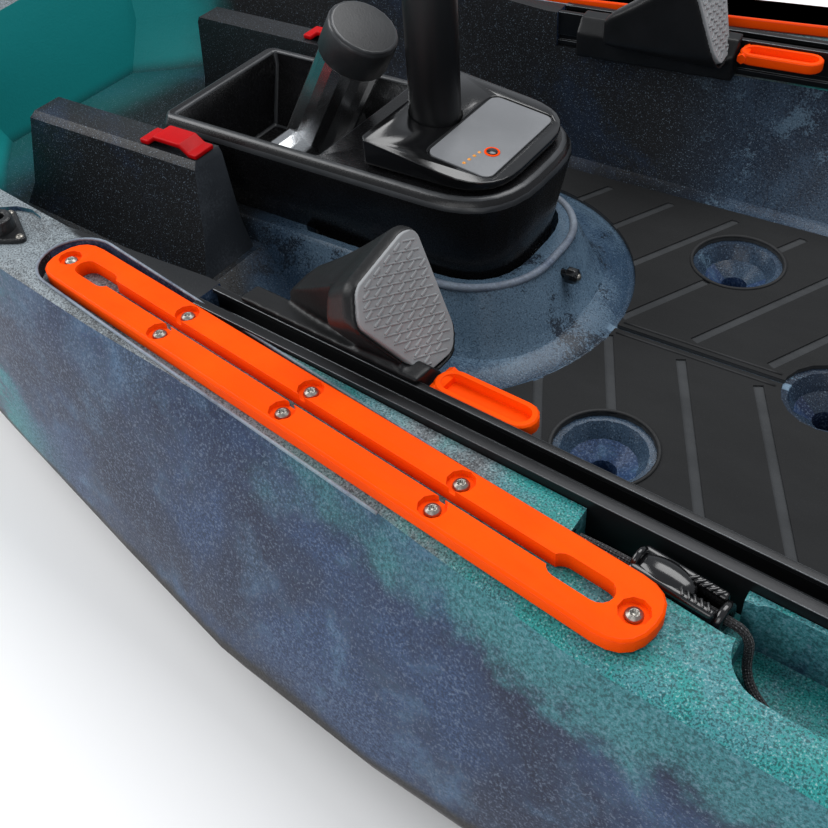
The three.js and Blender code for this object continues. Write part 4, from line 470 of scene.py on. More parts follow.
# ------------------------------------------------ hull
def hull_shell():
    """The hull with rounded edges in a pale painted highlight, and its wells and gunwale tops marked for the
    finish.
    """
    build = copy_of("hull")
    bmesh.ops.dissolve_limit(build, angle_limit=math.radians(0.5), verts=build.verts, edges=build.edges)
    well = build.faces.layers.float.new("well")
    gunwale_top = build.faces.layers.float.new("gunwale_top")
    facing_aft = build.faces.layers.float.new("facing_aft")
    for face in build.faces:
        middle = face.calc_center_median()
        inward = face.normal.y * (1 if middle.y > 0 else -1) < -0.1 and middle.z > 0.1
        floor = face.normal.z > 0.2 and 0.13 < middle.z < 0.235 and abs(middle.y) < 0.3
        cross_wall = abs(face.normal.x) > 0.6 and 0.14 < middle.z < 0.3
        lengthwise = cross_wall and abs(middle.y) < 0.24 and abs(middle.x) < 1.58
        seat = abs(middle.y) < 0.2 and 0.6 < middle.x < 1.3 and 0.14 < middle.z < 0.32
        cheek_end = abs(middle.y) < 0.16 and 0.96 < middle.x < 1.03
        # aft-facing ends of the cheeks, marked for painted light
        face[facing_aft] = 1.0 if face.normal.x < -0.5 and cheek_end else 0.0
        face[well] = 1.0 if inward or floor or lengthwise or seat else 0.0
        face[gunwale_top] = 1.0 if face.normal.z > 0.75 and middle.z > 0.24 and not face[well] else 0.0
    piece = finished("hull_shell", build, "hull", HULL, ("hull",))
    piece.data.materials.append(HULL_EDGE_HIGHLIGHT)
    return soften(piece, HULL_ROUNDING, 3, 30.0, 1)


hull_shell()


def floor_mat(side):
    """A foam mat whose grooves and cut-outs have soft shoulders."""
    build = copy_of(f"floor_mat_{side}")
    top = max(vert.co.z for vert in build.verts)
    shoulders = [edge for edge in build.edges if len(edge.link_faces) == 2 and edge.calc_face_angle(0) > 0.6
                 and min(vert.co.z for vert in edge.verts) > top - 1e-4]
    round_edges(build, shoulders, MAT_ROUNDING, 2)
    return finished(f"floor_mat_{side}_foam", build, "hull", MAT, (f"floor_mat_{side}",), smooth=False)


for side, _ in SIDES:
    floor_mat(side)

# every other rigid node keeps its shape, with its edges rounded and, where its slot has one, given a painted
# highlight or painted shade
MADE_ANEW = {"hull", "floor_mat", "seat_cushion", "back_cushion", "pull_cord", "cord_knot", "foot_pad",
             "brace_carriage", "cord_cleat", "lock_pin", "mount_base"}
for node in sorted(NODES):
    plain = node.replace("_port", "").replace("_starboard", "")
    slot = SLOT_OF[node]
    if plain not in MADE_ANEW and slot != "silver":
        face_finish = MOTOR_BLACK if plain == "motor_housing" else SLOT_FINISH[slot]
        refined(node, face_finish, EDGE_WIDTH.get(plain, USUAL_EDGE), 2, 32.0, BODY_OF[node],
                EDGE_PAINTED_LIGHT.get(slot))

# ------------------------------------------------ cord
CORD_RADIUS = 0.0029
# from the channel's fore hole to the knot, in millimetres
CORD_ROUTE = [(497, 355.6, 291.5), (478, 356.5, 291.5), (456, 358.8, 291.5), (431, 363, 291.5),
              (411, 366.2, 291.7), (399.5, 367.8, 291.6), (391, 368, 289.2), (386.2, 368.2, 282.5),
              (384.6, 369.2, 273), (383.2, 372, 265), (378.5, 378, 260.2), (369, 386, 258.6),
              (356, 394, 258.4), (338, 398.5, 258.4), (316, 397, 258.4), (292, 389, 258.4),
              (266, 386, 258.4), (240, 392, 258.6), (226, 396.5, 260.2), (216, 399.5, 262.2)]
CORD_STEP = 0.004
KNOT_SCALE = 0.00125
KNOT_AHEAD = 0.0062
KNOT_SPOTS = 60
BRAID_REPEAT = 0.0042


def smooth_route(points, step):
    """The route's points joined by a smooth curve and sampled evenly."""
    line = bpy.data.curves.new("route", "CURVE")
    line.dimensions = "3D"
    spline = line.splines.new("BEZIER")
    spline.bezier_points.add(len(points) - 1)
    for knot, point in zip(spline.bezier_points, points):
        knot.co = Vector(point) / 1000
        knot.handle_left_type = knot.handle_right_type = "AUTO"
    line.resolution_u = 16
    holder = bpy.data.objects.new("route", line)
    SCENE.collection.objects.link(holder)
    bpy.context.view_layer.update()
    mesh = holder.to_mesh()
    raw = [v.co.copy() for v in mesh.vertices]
    holder.to_mesh_clear()
    bpy.data.objects.remove(holder)
    even, carried = [raw[0]], 0.0
    for a, b in zip(raw, raw[1:]):
        carried += (b - a).length
        if carried >= step:
            even.append(b)
            carried = 0.0
    even[-1] = raw[-1]
    return even


def cord_tube(path, radius, sides=12):
    """A tube along a path, with a UV map that runs along it in braid repeats."""
    build = bmesh.new()
    rings, lengths = [], [0.0]
    side = Vector((0, 0, 1))
    for i, point in enumerate(path):
        ahead = (path[min(i + 1, len(path) - 1)] - path[max(i - 1, 0)]).normalized()
        side = (side - ahead * side.dot(ahead)).normalized()
        other = ahead.cross(side)
        if i:
            lengths.append(lengths[-1] + (point - path[i - 1]).length)
        rings.append([build.verts.new(point + (side * math.cos(a) + other * math.sin(a)) * radius)
                      for a in (2 * math.pi * k / sides for k in range(sides))])
    uv = build.loops.layers.uv.new("along")
    for i, (low, high) in enumerate(zip(rings, rings[1:])):
        for k in range(sides):
            face = build.faces.new((low[k], low[(k + 1) % sides], high[(k + 1) % sides], high[k]))
            for loop, (u, v) in zip(face.loops, ((i, k), (i, k + 1), (i + 1, k + 1), (i + 1, k))):
                loop[uv].uv = (lengths[u] / BRAID_REPEAT, v / sides)
    build.faces.new(list(reversed(rings[0])))
    build.faces.new(rings[-1])
    bmesh.ops.recalc_face_normals(build, faces=build.faces)
    return build, lengths[-1]


cord_path = smooth_route(CORD_ROUTE, CORD_STEP)
tube, cord_length = cord_tube(cord_path, CORD_RADIUS)
pull_cord = finished("pull_cord_line", tube, "hull", CORD, ("pull_cord",))
end_way = (cord_path[-1] - cord_path[-2]).normalized()
knot_middle = cord_path[-1] + end_way * KNOT_AHEAD
knot_turn = end_way.to_track_quat("Z", "Y").to_matrix()
knot_path = []
for k in range(KNOT_SPOTS + 1):
    t = 2 * math.pi * k / KNOT_SPOTS
    loop = (math.sin(t) + 2 * math.sin(2 * t), math.cos(t) - 2 * math.cos(2 * t), -1.5 * math.sin(3 * t))
    knot_path.append(knot_middle + knot_turn @ (Vector(loop) * KNOT_SCALE))
knot_build, _ = cord_tube(knot_path, CORD_RADIUS * 0.88, 10)
cord_knot = finished("cord_stopper_knot", knot_build, "hull", CORD, ("cord_knot",))

# ------------------------------------------------ screws
PLATE_X, PLATE_Y, PLATE_TURN = 0.708, 0.3585, math.radians(9.08)
SCREW_REACH = 0.2696
SCREW_ROW = 0.0133
SCREW_TOP = 0.3092
SCREW_RADIUS = 0.00545
SCREW_DOME = 0.0022


def screw_head(radius, dome, socket=0.42):
    """A pan head with a six-lobed socket, its top at the origin."""
    profile = [(0.0, -dome * 1.6), (radius, -dome * 1.6), (radius, -dome), (radius * 0.86, -dome * 0.42),
               (radius * 0.55, -dome * 0.1), (radius * socket * 1.25, 0.0), (radius * socket, -dome * 0.12),
               (radius * socket * 0.92, -dome * 0.95), (0.0, -dome)]
    head = spun(profile, 36)
    for vert in head.verts:
        reach = math.hypot(vert.co.x, vert.co.y)
        if radius * 0.2 < reach < radius * socket * 1.1:
            lobe = 1.0 + 0.16 * math.cos(6 * math.atan2(vert.co.y, vert.co.x))
            vert.co.x *= lobe
            vert.co.y *= lobe
    return head


def plate_screws(side, sign):
    """The eight screws that hold a slotted plate."""
    build = bmesh.new()
    spots = [(-SCREW_REACH, 0.0), (SCREW_REACH, 0.0)]
    spots += [(SCREW_REACH / 2 * k, SCREW_ROW * row) for k in (-1, 0, 1) for row in (-1, 1)]
    for along, out in spots:
        x = PLATE_X + along * math.cos(PLATE_TURN) + out * math.sin(PLATE_TURN)
        y = PLATE_Y - along * math.sin(PLATE_TURN) + out * math.cos(PLATE_TURN)
        merge_into(build, shift(screw_head(SCREW_RADIUS, SCREW_DOME), (x, sign * y, SCREW_TOP)))
    return finished(f"plate_screws_{side}", build, "hull", STEEL_HEAD)


for side, sign in SIDES:
    plate_screws(side, sign)

# ------------------------------------------------ foot braces
# in millimetres, along and beside the track
TRACK_TURN = math.radians(-4.8)
BRACE_X = 0.655
PAD_LEAN = math.radians(22)
PAD_CORNERS = [(0, 14.6), (0, 92.2), (-10.9, 97), (-67.9, 84.4), (-78, 62.1), (-41.3, 0), (-9.4, 0)]
PAD_THICK = 9.0
PAD_BACK = 9.0
PAD_OUT = -69
PAD_FOOT = 295
RIM_LIP = 0.6
RIM_WIDTH = 3.6
BODY_SHARES = [(0.0, 1.0, 1.0), (0.2, 0.96, 0.88), (0.5, 0.85, 0.68), (0.8, 0.74, 0.47), (0.93, 0.68, 0.38),
               (1.0, 0.62, 0.3)]
BODY_MIDDLE = -28
BODY_END = 127
BODY_STEPS = 12
SLEEVE_SECTION = [(-38.1, 271.4), (-14.6, 271.4), (-14.1, 306.6), (-8.1, 306.6), (-8.1, 310.8),
                  (-26.1, 310.8), (-38.1, 297)]
SLEEVE_START = -7
SLEEVE_LENGTH = 170
ROW_PITCH = 6.7
TICK_PITCH = 10.7
ROW_TURN, TICK_TURN = math.radians(-21), math.radians(16)
BRACE_PLACE = (Matrix.Translation((BRACE_X, 0.3315 - math.tan(math.radians(4.8)) * (BRACE_X - 0.415), 0.0))
               @ Matrix.Rotation(TRACK_TURN, 4, "Z") @ MM)


def rounded_outline(corners, radius, segments=5):
    """The points of a flat outline once its corners are cut round."""
    build = bmesh.new()
    build.faces.new([build.verts.new((u, v, 0)) for u, v in corners])
    round_edges(build, list(build.verts), radius, segments, "VERTICES")
    largest = max(build.faces, key=lambda face: face.calc_area())
    points = [(vert.co.x, vert.co.y) for vert in largest.verts]
    build.free()
    return points


def grown(points, margin):
    """An outline moved outward all round by a margin."""
    middle = [sum(c) / len(points) for c in zip(*points)]
    return [(u + (u - middle[0]) / math.hypot(u - middle[0], v - middle[1]) * margin,
             v + (v - middle[1]) / math.hypot(u - middle[0], v - middle[1]) * margin) for u, v in points]


def plate_from(points, thickness, rounding, segments=3):
    """A flat outline given a thickness, with the edge of its far face rounded."""
    build = bmesh.new()
    face = build.faces.new([build.verts.new((u, v, 0)) for u, v in points])
    top = set(drawn_out(build, [face], (0, 0, thickness)))
    bmesh.ops.recalc_face_normals(build, faces=build.faces)
    rim = [edge for edge in build.edges if all(vert in top for vert in edge.verts)]
    round_edges(build, rim, rounding, segments)
    return build


def block(build, size, middle, turn=0.0, bevel=0.0, segments=2):
    """A small block, turned in its plane, with cut edges."""
    part = bmesh.new()
    bmesh.ops.create_cube(part, size=1.0)
    bmesh.ops.scale(part, vec=size, verts=part.verts)
    if bevel:
        round_edges(part, list(part.edges), bevel, segments)
    placed(part, Matrix.Rotation(turn, 4, "Z"))
    return merge_into(build, shift(part, middle))


def span_within(outline, start, heading, inset):
    """The stretch of a straight line that lies inside a convex outline, kept back from its edge."""
    low, high = -1e3, 1e3
    area = sum(a[0] * b[1] - b[0] * a[1] for a, b in zip(outline, outline[1:] + outline[:1]))
    for a, b in zip(outline, outline[1:] + outline[:1]):
        length = math.hypot(b[0] - a[0], b[1] - a[1])
        if length < 1e-6:
            continue
        inward = Vector((-(b[1] - a[1]), b[0] - a[0])) / length * (1 if area > 0 else -1)
        gap = inward.dot(Vector(start) - Vector(a)) - inset
        slope = inward.dot(Vector(heading))
        if abs(slope) < 1e-9:
            if gap < 0:
                return None
        elif slope > 0:
            low = max(low, -gap / slope)
        else:
            high = min(high, -gap / slope)
    return (low, high) if high - low > 2.0 else None


def foot_pad(side, sign):
    """Grey tread of a foot brace, with rows of ridges and slanted ticks."""
    outline = rounded_outline(PAD_CORNERS, 8.0)
    build = plate_from(outline, PAD_THICK, 1.6)
    along = Vector((math.cos(ROW_TURN), math.sin(ROW_TURN)))
    across = Vector((-along.y, along.x))
    for row in range(-12, 13):
        start = Vector((-39, 50)) + across * (ROW_PITCH * row)
        reach = span_within(outline, start, along, 4.5)
        if not reach:
            continue
        length = reach[1] - reach[0]
        middle = start + along * (sum(reach) / 2)
        block(build, (length, 1.3, 1.3), (middle.x, middle.y, PAD_THICK), ROW_TURN, 0.4)
        for k in range(int(length // TICK_PITCH) + 1):
            spot = start + along * (reach[0] + 4 + TICK_PITCH * k) + across * 3.3
            if span_within(outline, spot, along, 6.0) and k * TICK_PITCH < length - 7:
                block(build, (7.6, 2.2, 2.0), (spot.x, spot.y, PAD_THICK), TICK_TURN, 0.6)
    rise, set_back = math.cos(PAD_LEAN), math.sin(PAD_LEAN)
    lean = Matrix(((0, set_back, -rise, PAD_BACK - RIM_LIP), (-1, 0, 0, PAD_OUT),
                   (0, rise, set_back, PAD_FOOT), (0, 0, 0, 1)))
    flip = Matrix.Diagonal((1, sign, 1, 1))
    placed(build, flip @ BRACE_PLACE @ lean)
    bmesh.ops.recalc_face_normals(build, faces=build.faces)
    node = f"foot_pad_{side}"
    return finished(f"{node}_tread", build, BODY_OF[node], PAD, (node,), smooth=False)


def brace_body(side, sign):
    """Moulded body of a foot brace: a shell behind the tread that runs down into the sleeve on the track."""
    outline = rounded_outline(PAD_CORNERS, 9.0, 4)
    build = bmesh.new()
    rings = []

    def ring(points, place, width, height, at_face=False):
        verts = []
        for u, v in points:
            z = PAD_FOOT + v * height * math.cos(PAD_LEAN)
            back = (z - PAD_FOOT) * math.tan(PAD_LEAN) + (RIM_LIP if at_face else PAD_BACK)
            x = back + place * (BODY_END - back)
            y = BODY_MIDDLE + (PAD_OUT - u - BODY_MIDDLE) * width
            inner = -9.0 - 17 * (place - 0.3) / 0.7
            verts.append(build.verts.new((x, min(y, inner) if place > 0.3 else y, z)))
        rings.append((verts, [build.edges.new((a, b)) for a, b in zip(verts, verts[1:] + verts[:1])]))

    wide = grown(outline, RIM_WIDTH)
    ring(grown(outline, 0.4), 0.0, 1.0, 1.0)
    ring(grown(outline, 0.4), 0.0, 1.0, 1.0, True)
    ring(wide, 0.0, 1.0, 1.0, True)
    for k in range(BODY_STEPS + 1):
        place = k / BODY_STEPS
        for low, high in zip(BODY_SHARES, BODY_SHARES[1:]):
            if low[0] <= place <= high[0]:
                t = (place - low[0]) / (high[0] - low[0])
                ring(wide, place, low[1] + (high[1] - low[1]) * t, low[2] + (high[2] - low[2]) * t)
                break
    for (_, low), (_, high) in zip(rings, rings[1:]):
        bmesh.ops.bridge_loops(build, edges=low + high)
    build.faces.new(rings[0][0])
    build.faces.new(rings[-1][0])
    bmesh.ops.recalc_face_normals(build, faces=build.faces)
    sleeve = bmesh.new()
    sleeve.faces.new([sleeve.verts.new((SLEEVE_START, y, z)) for y, z in SLEEVE_SECTION])
    drawn_out(sleeve, list(sleeve.faces), (SLEEVE_LENGTH, 0, 0))
    bmesh.ops.recalc_face_normals(sleeve, faces=sleeve.faces)
    merge_into(build, sleeve)
    placed(build, Matrix.Diagonal((1, sign, 1, 1)) @ BRACE_PLACE)
    bmesh.ops.recalc_face_normals(build, faces=build.faces)
    node = f"brace_carriage_{side}"
    piece = finished(f"brace_body_{side}", build, BODY_OF[node], BRACE_BLACK, (node,))
    blend = piece.modifiers.new("one_moulding", "REMESH")
    blend.mode = "VOXEL"
    blend.voxel_size = 0.0016
    blend.use_smooth_shade = True
    fair = piece.modifiers.new("faired", "SMOOTH")
    fair.factor = 0.5
    fair.iterations = 9
    return piece


for side, sign in SIDES:
    foot_pad(side, sign)
    brace_body(side, sign)


# ------------------------------------------------ cord cleat
# in millimetres, along the cord
CLEAT_PLACE = Matrix.Translation((0.431, 0.363, 0.2743)) @ Matrix.Rotation(math.radians(-9.5), 4, "Z") @ MM
LID_PLACE, LID_SIZE, LID_CUT = (9, 0, 24.2), (20, 10.6, 7.0), 21.2


def wire_ring(build, spot, radius, wire, squash=1.0):
    """A round eye standing across the cord."""
    hoop = spun(hoop_section(radius, wire, 14), 32)
    bmesh.ops.scale(hoop, vec=(squash, 1, 1), verts=hoop.verts)
    placed(hoop, Matrix.Rotation(math.pi / 2, 4, "Y"))
    return merge_into(build, shift(hoop, spot))


def cord_cleat():
    """Jam cleat: a long glossy channel under a lid, ridged jaws behind it and an eye at each end."""
    build = bmesh.new()
    block(build, (62, 21, 12), (0, 0, 6.4), 0.0, 3.0, 4)
    for flank in (-1, 1):
        block(build, (56, 6.6, 20), (1, flank * 7.8, 18.4), 0.0, 2.8, 5)
        block(build, (5.2, 3.4, 14), (-27, flank * 8, 10), 0.0, 1.2, 3)
    lid = bmesh.new()
    bmesh.ops.create_uvsphere(lid, u_segments=40, v_segments=20, radius=1.0)
    bmesh.ops.scale(lid, vec=LID_SIZE, verts=lid.verts)
    shift(lid, LID_PLACE)
    whole = list(lid.verts) + list(lid.edges) + list(lid.faces)
    bmesh.ops.bisect_plane(lid, geom=whole, plane_co=(0, 0, LID_CUT), plane_no=(0, 0, -1), clear_outer=True)
    merge_into(build, lid)
    wire_ring(build, (27, 0, 19.6), 8.0, 2.4, 1.3)
    for k in range(5):
        for flank in (-1, 1):
            ridge = (-22 + 4.2 * k, flank * 6.4, 27.8)
            block(build, (2.2, 7.0, 3.0), ridge, flank * math.radians(38), 1.0, 3)
    wire_ring(build, (-29, 0, 18.4), 8.0, 2.9, 0.95)
    placed(build, CLEAT_PLACE)
    return finished("cord_cleat_body", build, "hull", GLOSS, ("cord_cleat",))


cord_cleat()


# ------------------------------------------------ motor panel and lock pin
COVER_X, COVER_HEIGHT, COVER_SLOPE = 0.72, 0.3103, 0.1324
PANEL_CORNERS, PANEL_THICK = [(-32, -59), (32, -59), (32, 59), (-32, 59)], 1.5
PANEL_X = 0.766
BUTTON_SPOT = (0.752, 0.023)
LAMP_SPOT, LAMP_STEP = (0.763, 0.052), (-0.0008, -0.0073)
PIN_PLACE = Matrix.Translation((0.6736, 0, 0.192)) @ MM


def cover_place(x, y, lift=0.0):
    """A spot on the sloped top of the motor cover, turned with the slope, for millimetres."""
    spot = Matrix.Translation((x, y, COVER_HEIGHT + COVER_SLOPE * (x - COVER_X) + lift))
    return spot @ Matrix.Rotation(-math.atan(COVER_SLOPE), 4, "Y") @ MM


def cover_panel():
    """Bare grey panel let into the motor cover, its push button and its four small lamps."""
    build = plate_from(rounded_outline(PANEL_CORNERS, 9.0, 6), PANEL_THICK, 0.5, 2)
    placed(build, cover_place(PANEL_X, 0.0, -PANEL_THICK / 1000))
    finished("cover_panel_plain", build, "hull", PANEL, smooth=False)
    button = spun([(0, 1.3), (4.4, 1.3), (4.9, 0.9), (4.9, 0.0)], 40)
    finished("cover_button", placed(button, cover_place(*BUTTON_SPOT)), "hull", GLOSS)
    collar = spun([(5.2, 0.0), (5.4, 0.7), (6.2, 0.9), (6.9, 0.7), (7.1, 0.0)], 40)
    finished("cover_button_ring", placed(collar, cover_place(*BUTTON_SPOT)), "hull", ORANGE)
    lamps = bmesh.new()
    for k in range(4):
        lamp = spun([(0, 0.8), (1.2, 0.6), (1.7, 0.0)], 20)
        spot = cover_place(LAMP_SPOT[0] + LAMP_STEP[0] * k, LAMP_SPOT[1] + LAMP_STEP[1] * k)
        merge_into(lamps, placed(lamp, spot))
    finished("cover_lamps", lamps, "hull", AMBER)


def lock_pin():
    """Knob of the motor's lock pin with a bright metal centre."""
    refined("lock_pin", GLOSS, USUAL_EDGE, 3, 30.0, BODY_OF["lock_pin"])
    centre = spun([(0, 2.4), (1.8, 2.1), (3.2, 1.2), (3.8, 0.0)], 28)
    placed(centre, Matrix.Rotation(-math.pi / 2, 4, "Y"))
    finished("lock_pin_centre", placed(centre, PIN_PLACE), BODY_OF["lock_pin"], STEEL_HEAD)


cover_panel()
lock_pin()


# ------------------------------------------------ lips moulded in the hull
GUNWALE_LOW, GUNWALE_RISE = 0.298, 0.088
RISE_START, RISE_LENGTH = 0.45, 1.38
LIP_GAP, LIP_SUNK, LIP_STEP, LIP_WIRE = 0.0072, 0.0002, 0.012, 0.0012
LIP_REACH, LIP_RADIUS = 0.284 + LIP_GAP, 0.025 + LIP_GAP
LIP_START = 0.6
RIM_TOP, RIM_WIRE = 0.2112, 0.0038
COLLAR_X, COLLAR_Y, COLLAR_ROUND = 0.7735, 0.015, 0.0765
RIB_SPANS = ((0.120, 0.380), (0.476, 0.628))
RIB_Y, RIB_HEIGHT, RIB_WIRE, HOOP_WIRE = 0.0085, 0.1502, 0.0013, 0.0018
CUT_OUT, CUT_OUT_RADIUS = (0.571, 0.151, 0.1503), 0.0455
BASE_SPOT = (1.052, 0.320, 0.312)
BASE_CORNERS = [(34, 0), (-17, 29.4), (-17, -29.4)]
BASE_SOCKET = [(13, 3.5), (12.4, 14.6), (11, 16), (7.4, 16), (6.4, 15), (6.4, 6), (0, 6)]
BASE_SCREW_CIRCLE, BASE_SCREW_TOP = 24, 5.4


def gunwale_height(x):
    """The gunwale is level amidships and rises towards the bow."""
    return GUNWALE_LOW + GUNWALE_RISE * (max(x - RISE_START, 0.0) / RISE_LENGTH) ** 2


def bed_lip(side, sign):
    """Fine raised lip round the fore part of the slotted plate's bed, in the hull's pale painted-highlight
    finish.
    """
    path = []
    for k in range(17):
        a = math.pi * k / 16 - math.pi / 2
        along, out = LIP_REACH - LIP_RADIUS + LIP_RADIUS * math.cos(a), LIP_RADIUS * math.sin(a)
        x = PLATE_X + along * math.cos(PLATE_TURN) + out * math.sin(PLATE_TURN)
        y = PLATE_Y - along * math.sin(PLATE_TURN) + out * math.cos(PLATE_TURN)
        path.append(Vector((x, sign * y, gunwale_height(x) - LIP_SUNK)))
    middle = PLATE_Y - (LIP_START - PLATE_X) * math.tan(PLATE_TURN)
    beside = LIP_RADIUS / math.cos(PLATE_TURN)
    path.insert(0, Vector((LIP_START, sign * (middle - beside), 0)))
    path.append(Vector((LIP_START, sign * (middle + beside), 0)))
    spots = []
    for a, b in zip(path, path[1:]):
        steps = max(int((b - a).length / LIP_STEP), 1)
        for k in range(steps):
            spot = a.lerp(b, k / steps)
            spot.z = gunwale_height(spot.x) - LIP_SUNK
            spots.append(spot)
    tube, _ = cord_tube(spots, LIP_WIRE, 8)
    return finished(f"plate_bed_lip_{side}", tube, "hull", HULL_EDGE_HIGHLIGHT)


def collar_rim():
    """Rounded rim round the mouth of the motor's collar, in the hull's pale painted-highlight finish."""
    path = [Vector((x, COLLAR_Y + COLLAR_ROUND, RIM_TOP)) for x in (0.86, 0.82)]
    for k in range(13):
        a = math.pi / 2 * k / 12
        x, y = COLLAR_X - COLLAR_ROUND * math.sin(a), COLLAR_Y + COLLAR_ROUND * math.cos(a)
        path.append(Vector((x, y, RIM_TOP)))
    path += [Vector((spot.x, -spot.y, spot.z)) for spot in reversed(path)]
    tube, _ = cord_tube(path, RIM_WIRE, 12)
    return finished("motor_collar_rim", tube, "hull", HULL_EDGE_HIGHLIGHT)


def mat_ribs(side, sign):
    """Low ribs along a mat's inner edge and round its scupper cut-out."""
    build = bmesh.new()
    for start, end in RIB_SPANS:
        path = [Vector((start + (end - start) * k / 12, sign * RIB_Y, RIB_HEIGHT)) for k in range(13)]
        rib, _ = cord_tube(path, RIB_WIRE, 8)
        merge_into(build, rib)
    hoop = spun(hoop_section(CUT_OUT_RADIUS, HOOP_WIRE, 12), 56)
    merge_into(build, shift(hoop, (CUT_OUT[0], sign * CUT_OUT[1], CUT_OUT[2])))
    return finished(f"floor_mat_{side}_ribs", build, "hull", MAT_RIB)


def mount_base(side, sign):
    """Three-cornered accessory base: a pebbled foot, a raised socket and three screws."""
    node = f"mount_base_{side}"
    foot = plate_from(rounded_outline(BASE_CORNERS, 10.0, 6), 4.0, 1.4)
    merge_into(foot, spun(BASE_SOCKET, 40))
    x, y, z = BASE_SPOT
    place = Matrix.Translation((x, sign * y, z)) @ Matrix.Rotation(math.radians(180), 4, "Z") @ MM
    placed(foot, place)
    finished(f"{node}_foot", foot, BODY_OF[node], PEBBLED, (node,), smooth=False)
    heads = bmesh.new()
    for k in range(3):
        a = 2 * math.pi * k / 3
        spot = (BASE_SCREW_CIRCLE * math.cos(a), BASE_SCREW_CIRCLE * math.sin(a), BASE_SCREW_TOP)
        merge_into(heads, shift(screw_head(0.0036, 0.0015), place @ Vector(spot)))
    return finished(f"{node}_screws", heads, BODY_OF[node], STEEL_HEAD)


collar_rim()
for side, sign in SIDES:
    bed_lip(side, sign)
    mat_ribs(side, sign)
    mount_base(side, sign)


# ------------------------------------------------ cushions
CUSHION_VOXEL = 0.008
CUSHION_SHRINK = 0.95
CUSHION_PRESSURE = 4.0
CUSHION_FRAMES = 16
CLOTH_QUALITY = 3
SEAM_WIDTH, SEAM_DEPTH = 0.006, 0.006
PIPING_RADIUS = 0.0026
PIPING_SPOTS = 96


def pillow(node, across, along, outward, channels, cap):
    """A cushion filled as cloth from a slightly smaller form, with sewn channels and a piped edge."""
    source = copy_of(node)
    low = Vector(min(v.co[i] for v in source.verts) for i in range(3))
    high = Vector(max(v.co[i] for v in source.verts) for i in range(3))
    middle = (low + high) / 2
    bmesh.ops.scale(source, vec=[CUSHION_SHRINK] * 3, space=Matrix.Translation(-middle), verts=source.verts)
    body, slot = BODY_OF[node], SLOT_OF[node]
    piece = finished(f"{node}_cover", source, body, SEAT_CLOTH, (node,))

    def settle(modifier):
        graph = bpy.context.evaluated_depsgraph_get()
        fixed = bpy.data.meshes.new_from_object(piece.evaluated_get(graph))
        piece.modifiers.remove(modifier)
        piece.data = fixed

    even = piece.modifiers.new("even_mesh", "REMESH")
    even.mode = "VOXEL"
    even.voxel_size = CUSHION_VOXEL
    settle(even)
    start = [v.co.copy() for v in piece.data.vertices]
    filled = piece.modifiers.new("filled", "CLOTH")
    filled.settings.use_pressure = True
    filled.settings.uniform_pressure_force = CUSHION_PRESSURE
    filled.settings.quality = CLOTH_QUALITY
    filled.settings.effector_weights.gravity = 0.0
    filled.point_cache.frame_start = 1
    filled.point_cache.frame_end = CUSHION_FRAMES
    for step in range(1, CUSHION_FRAMES + 1):
        SCENE.frame_set(step)
    settle(filled)
    SCENE.frame_set(1)
    for vert, first in zip(piece.data.vertices, start):
        move = vert.co - first
        if move.length > cap:
            vert.co = first + move.normalized() * cap
    finer = piece.modifiers.new("finer", "SUBSURF")
    finer.levels = finer.render_levels = 1
    settle(finer)
    piece.data.update()
    for vert in piece.data.vertices:
        facing = vert.normal.dot(outward)
        place = (vert.co - middle).dot(along)
        if facing > 0.2:
            dip = sum(math.exp(-((place - line) / SEAM_WIDTH) ** 2) for line in channels)
            vert.co -= outward * SEAM_DEPTH * min(dip, 1.0) * min((facing - 0.2) * 2, 1.0)
        vert.co = Vector(min(max(vert.co[i], low[i]), high[i]) for i in range(3))
    for polygon in piece.data.polygons:
        polygon.use_smooth = True
    piece.data.update()
    band = [v.co for v in piece.data.vertices if abs((v.co - middle).dot(outward)) < 0.007]
    edge = []
    for k in range(PIPING_SPOTS):
        a = 2 * math.pi * k / PIPING_SPOTS
        ray = across * math.cos(a) + along * math.sin(a)
        far = max(band, key=lambda spot: (spot - middle).normalized().dot(ray) * 10 + (spot - middle).length)
        edge.append(far - outward * (far - middle).dot(outward))
    fair = [(edge[k - 1] + edge[k] * 2 + edge[(k + 1) % PIPING_SPOTS]) / 4 for k in range(PIPING_SPOTS)]
    fair = [spot for k, spot in enumerate(fair) if (spot - fair[k - 1]).length > 0.002]
    piping, _ = cord_tube(fair + [fair[0]], PIPING_RADIUS, 8)
    finished(f"{node}_piping", piping, body, SEAM_CLOTH)
    return piece


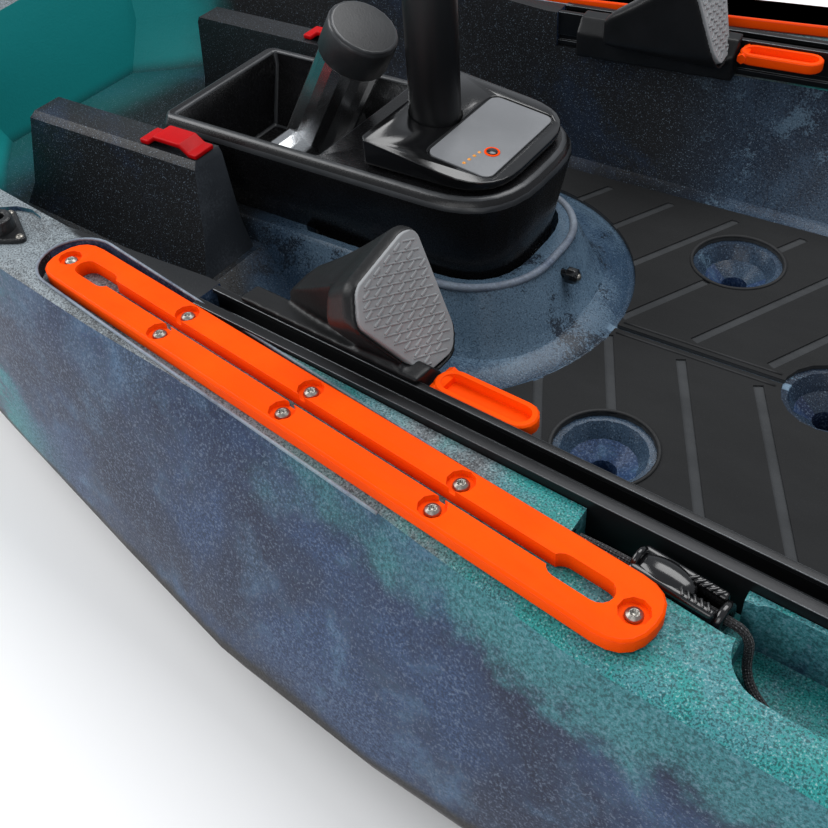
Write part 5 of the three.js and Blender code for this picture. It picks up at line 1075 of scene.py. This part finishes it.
BACK_LEAN = math.radians(14)
SIDEWAYS, UP = Vector((0, 1, 0)), Vector((0, 0, 1))
BACK_UP = Vector((-math.sin(BACK_LEAN), 0, math.cos(BACK_LEAN)))
BACK_OUT = Vector((math.cos(BACK_LEAN), 0, math.sin(BACK_LEAN)))
pillow("seat_cushion", Vector((1, 0, 0)), SIDEWAYS, UP, (-0.115, 0.0, 0.115), 0.010)
pillow("back_cushion", SIDEWAYS, BACK_UP, BACK_OUT, (-0.095, 0.0, 0.095), 0.012)

# ------------------------------------------------ floor, light and world
floor_build = bmesh.new()
bmesh.ops.create_grid(floor_build, x_segments=1, y_segments=1, size=30.0)
floor_mesh = bpy.data.meshes.new("floor")
floor_build.to_mesh(floor_mesh)
floor_build.free()
floor = bpy.data.objects.new("floor", floor_mesh)
SCENE.collection.objects.link(floor)
floor.location.z = -0.0005
floor_paint = Finish("floor_pale", roughness=0.9, specular=0.1)
floor_paint.colour((0.93, 0.93, 0.93, 1.0))
floor_mesh.materials.append(floor_paint.material)

world = bpy.data.worlds.new("studio")
SCENE.world = world
world.use_nodes = True
tree = world.node_tree
sky = tree.nodes["Background"]
sky.inputs["Color"].default_value = (0.82, 0.86, 0.92, 1.0)
sky.inputs["Strength"].default_value = 0.45
white = tree.nodes.new("ShaderNodeBackground")
white.inputs["Color"].default_value = (1, 1, 1, 1)
rays = tree.nodes.new("ShaderNodeLightPath")
choose = tree.nodes.new("ShaderNodeMixShader")
tree.links.new(rays.outputs["Is Camera Ray"], choose.inputs["Fac"])
tree.links.new(sky.outputs["Background"], choose.inputs[1])
tree.links.new(white.outputs["Background"], choose.inputs[2])
tree.links.new(choose.outputs["Shader"], tree.nodes["World Output"].inputs["Surface"])

LIGHT_TARGET = Vector((0.6, 0.2, 0.2))


def softbox(name, place, size, watts):
    """A soft light turned to what the camera sees."""
    lamp = bpy.data.lights.new(name, "AREA")
    lamp.shape = "RECTANGLE"
    lamp.size, lamp.size_y = size
    lamp.energy = watts
    holder = bpy.data.objects.new(name, lamp)
    SCENE.collection.objects.link(holder)
    holder.location = place
    holder.rotation_euler = (LIGHT_TARGET - Vector(place)).to_track_quat("-Z", "Y").to_euler()


softbox("softbox_over", (0.4, -1.2, 3.2), (3.0, 2.0), 88)
softbox("softbox_bow", (3.2, 0.8, 2.2), (2.0, 2.0), 60)
softbox("softbox_port", (0.2, 3.0, 1.8), (2.5, 1.5), 26)

SCENE.view_settings.view_transform = "Standard"
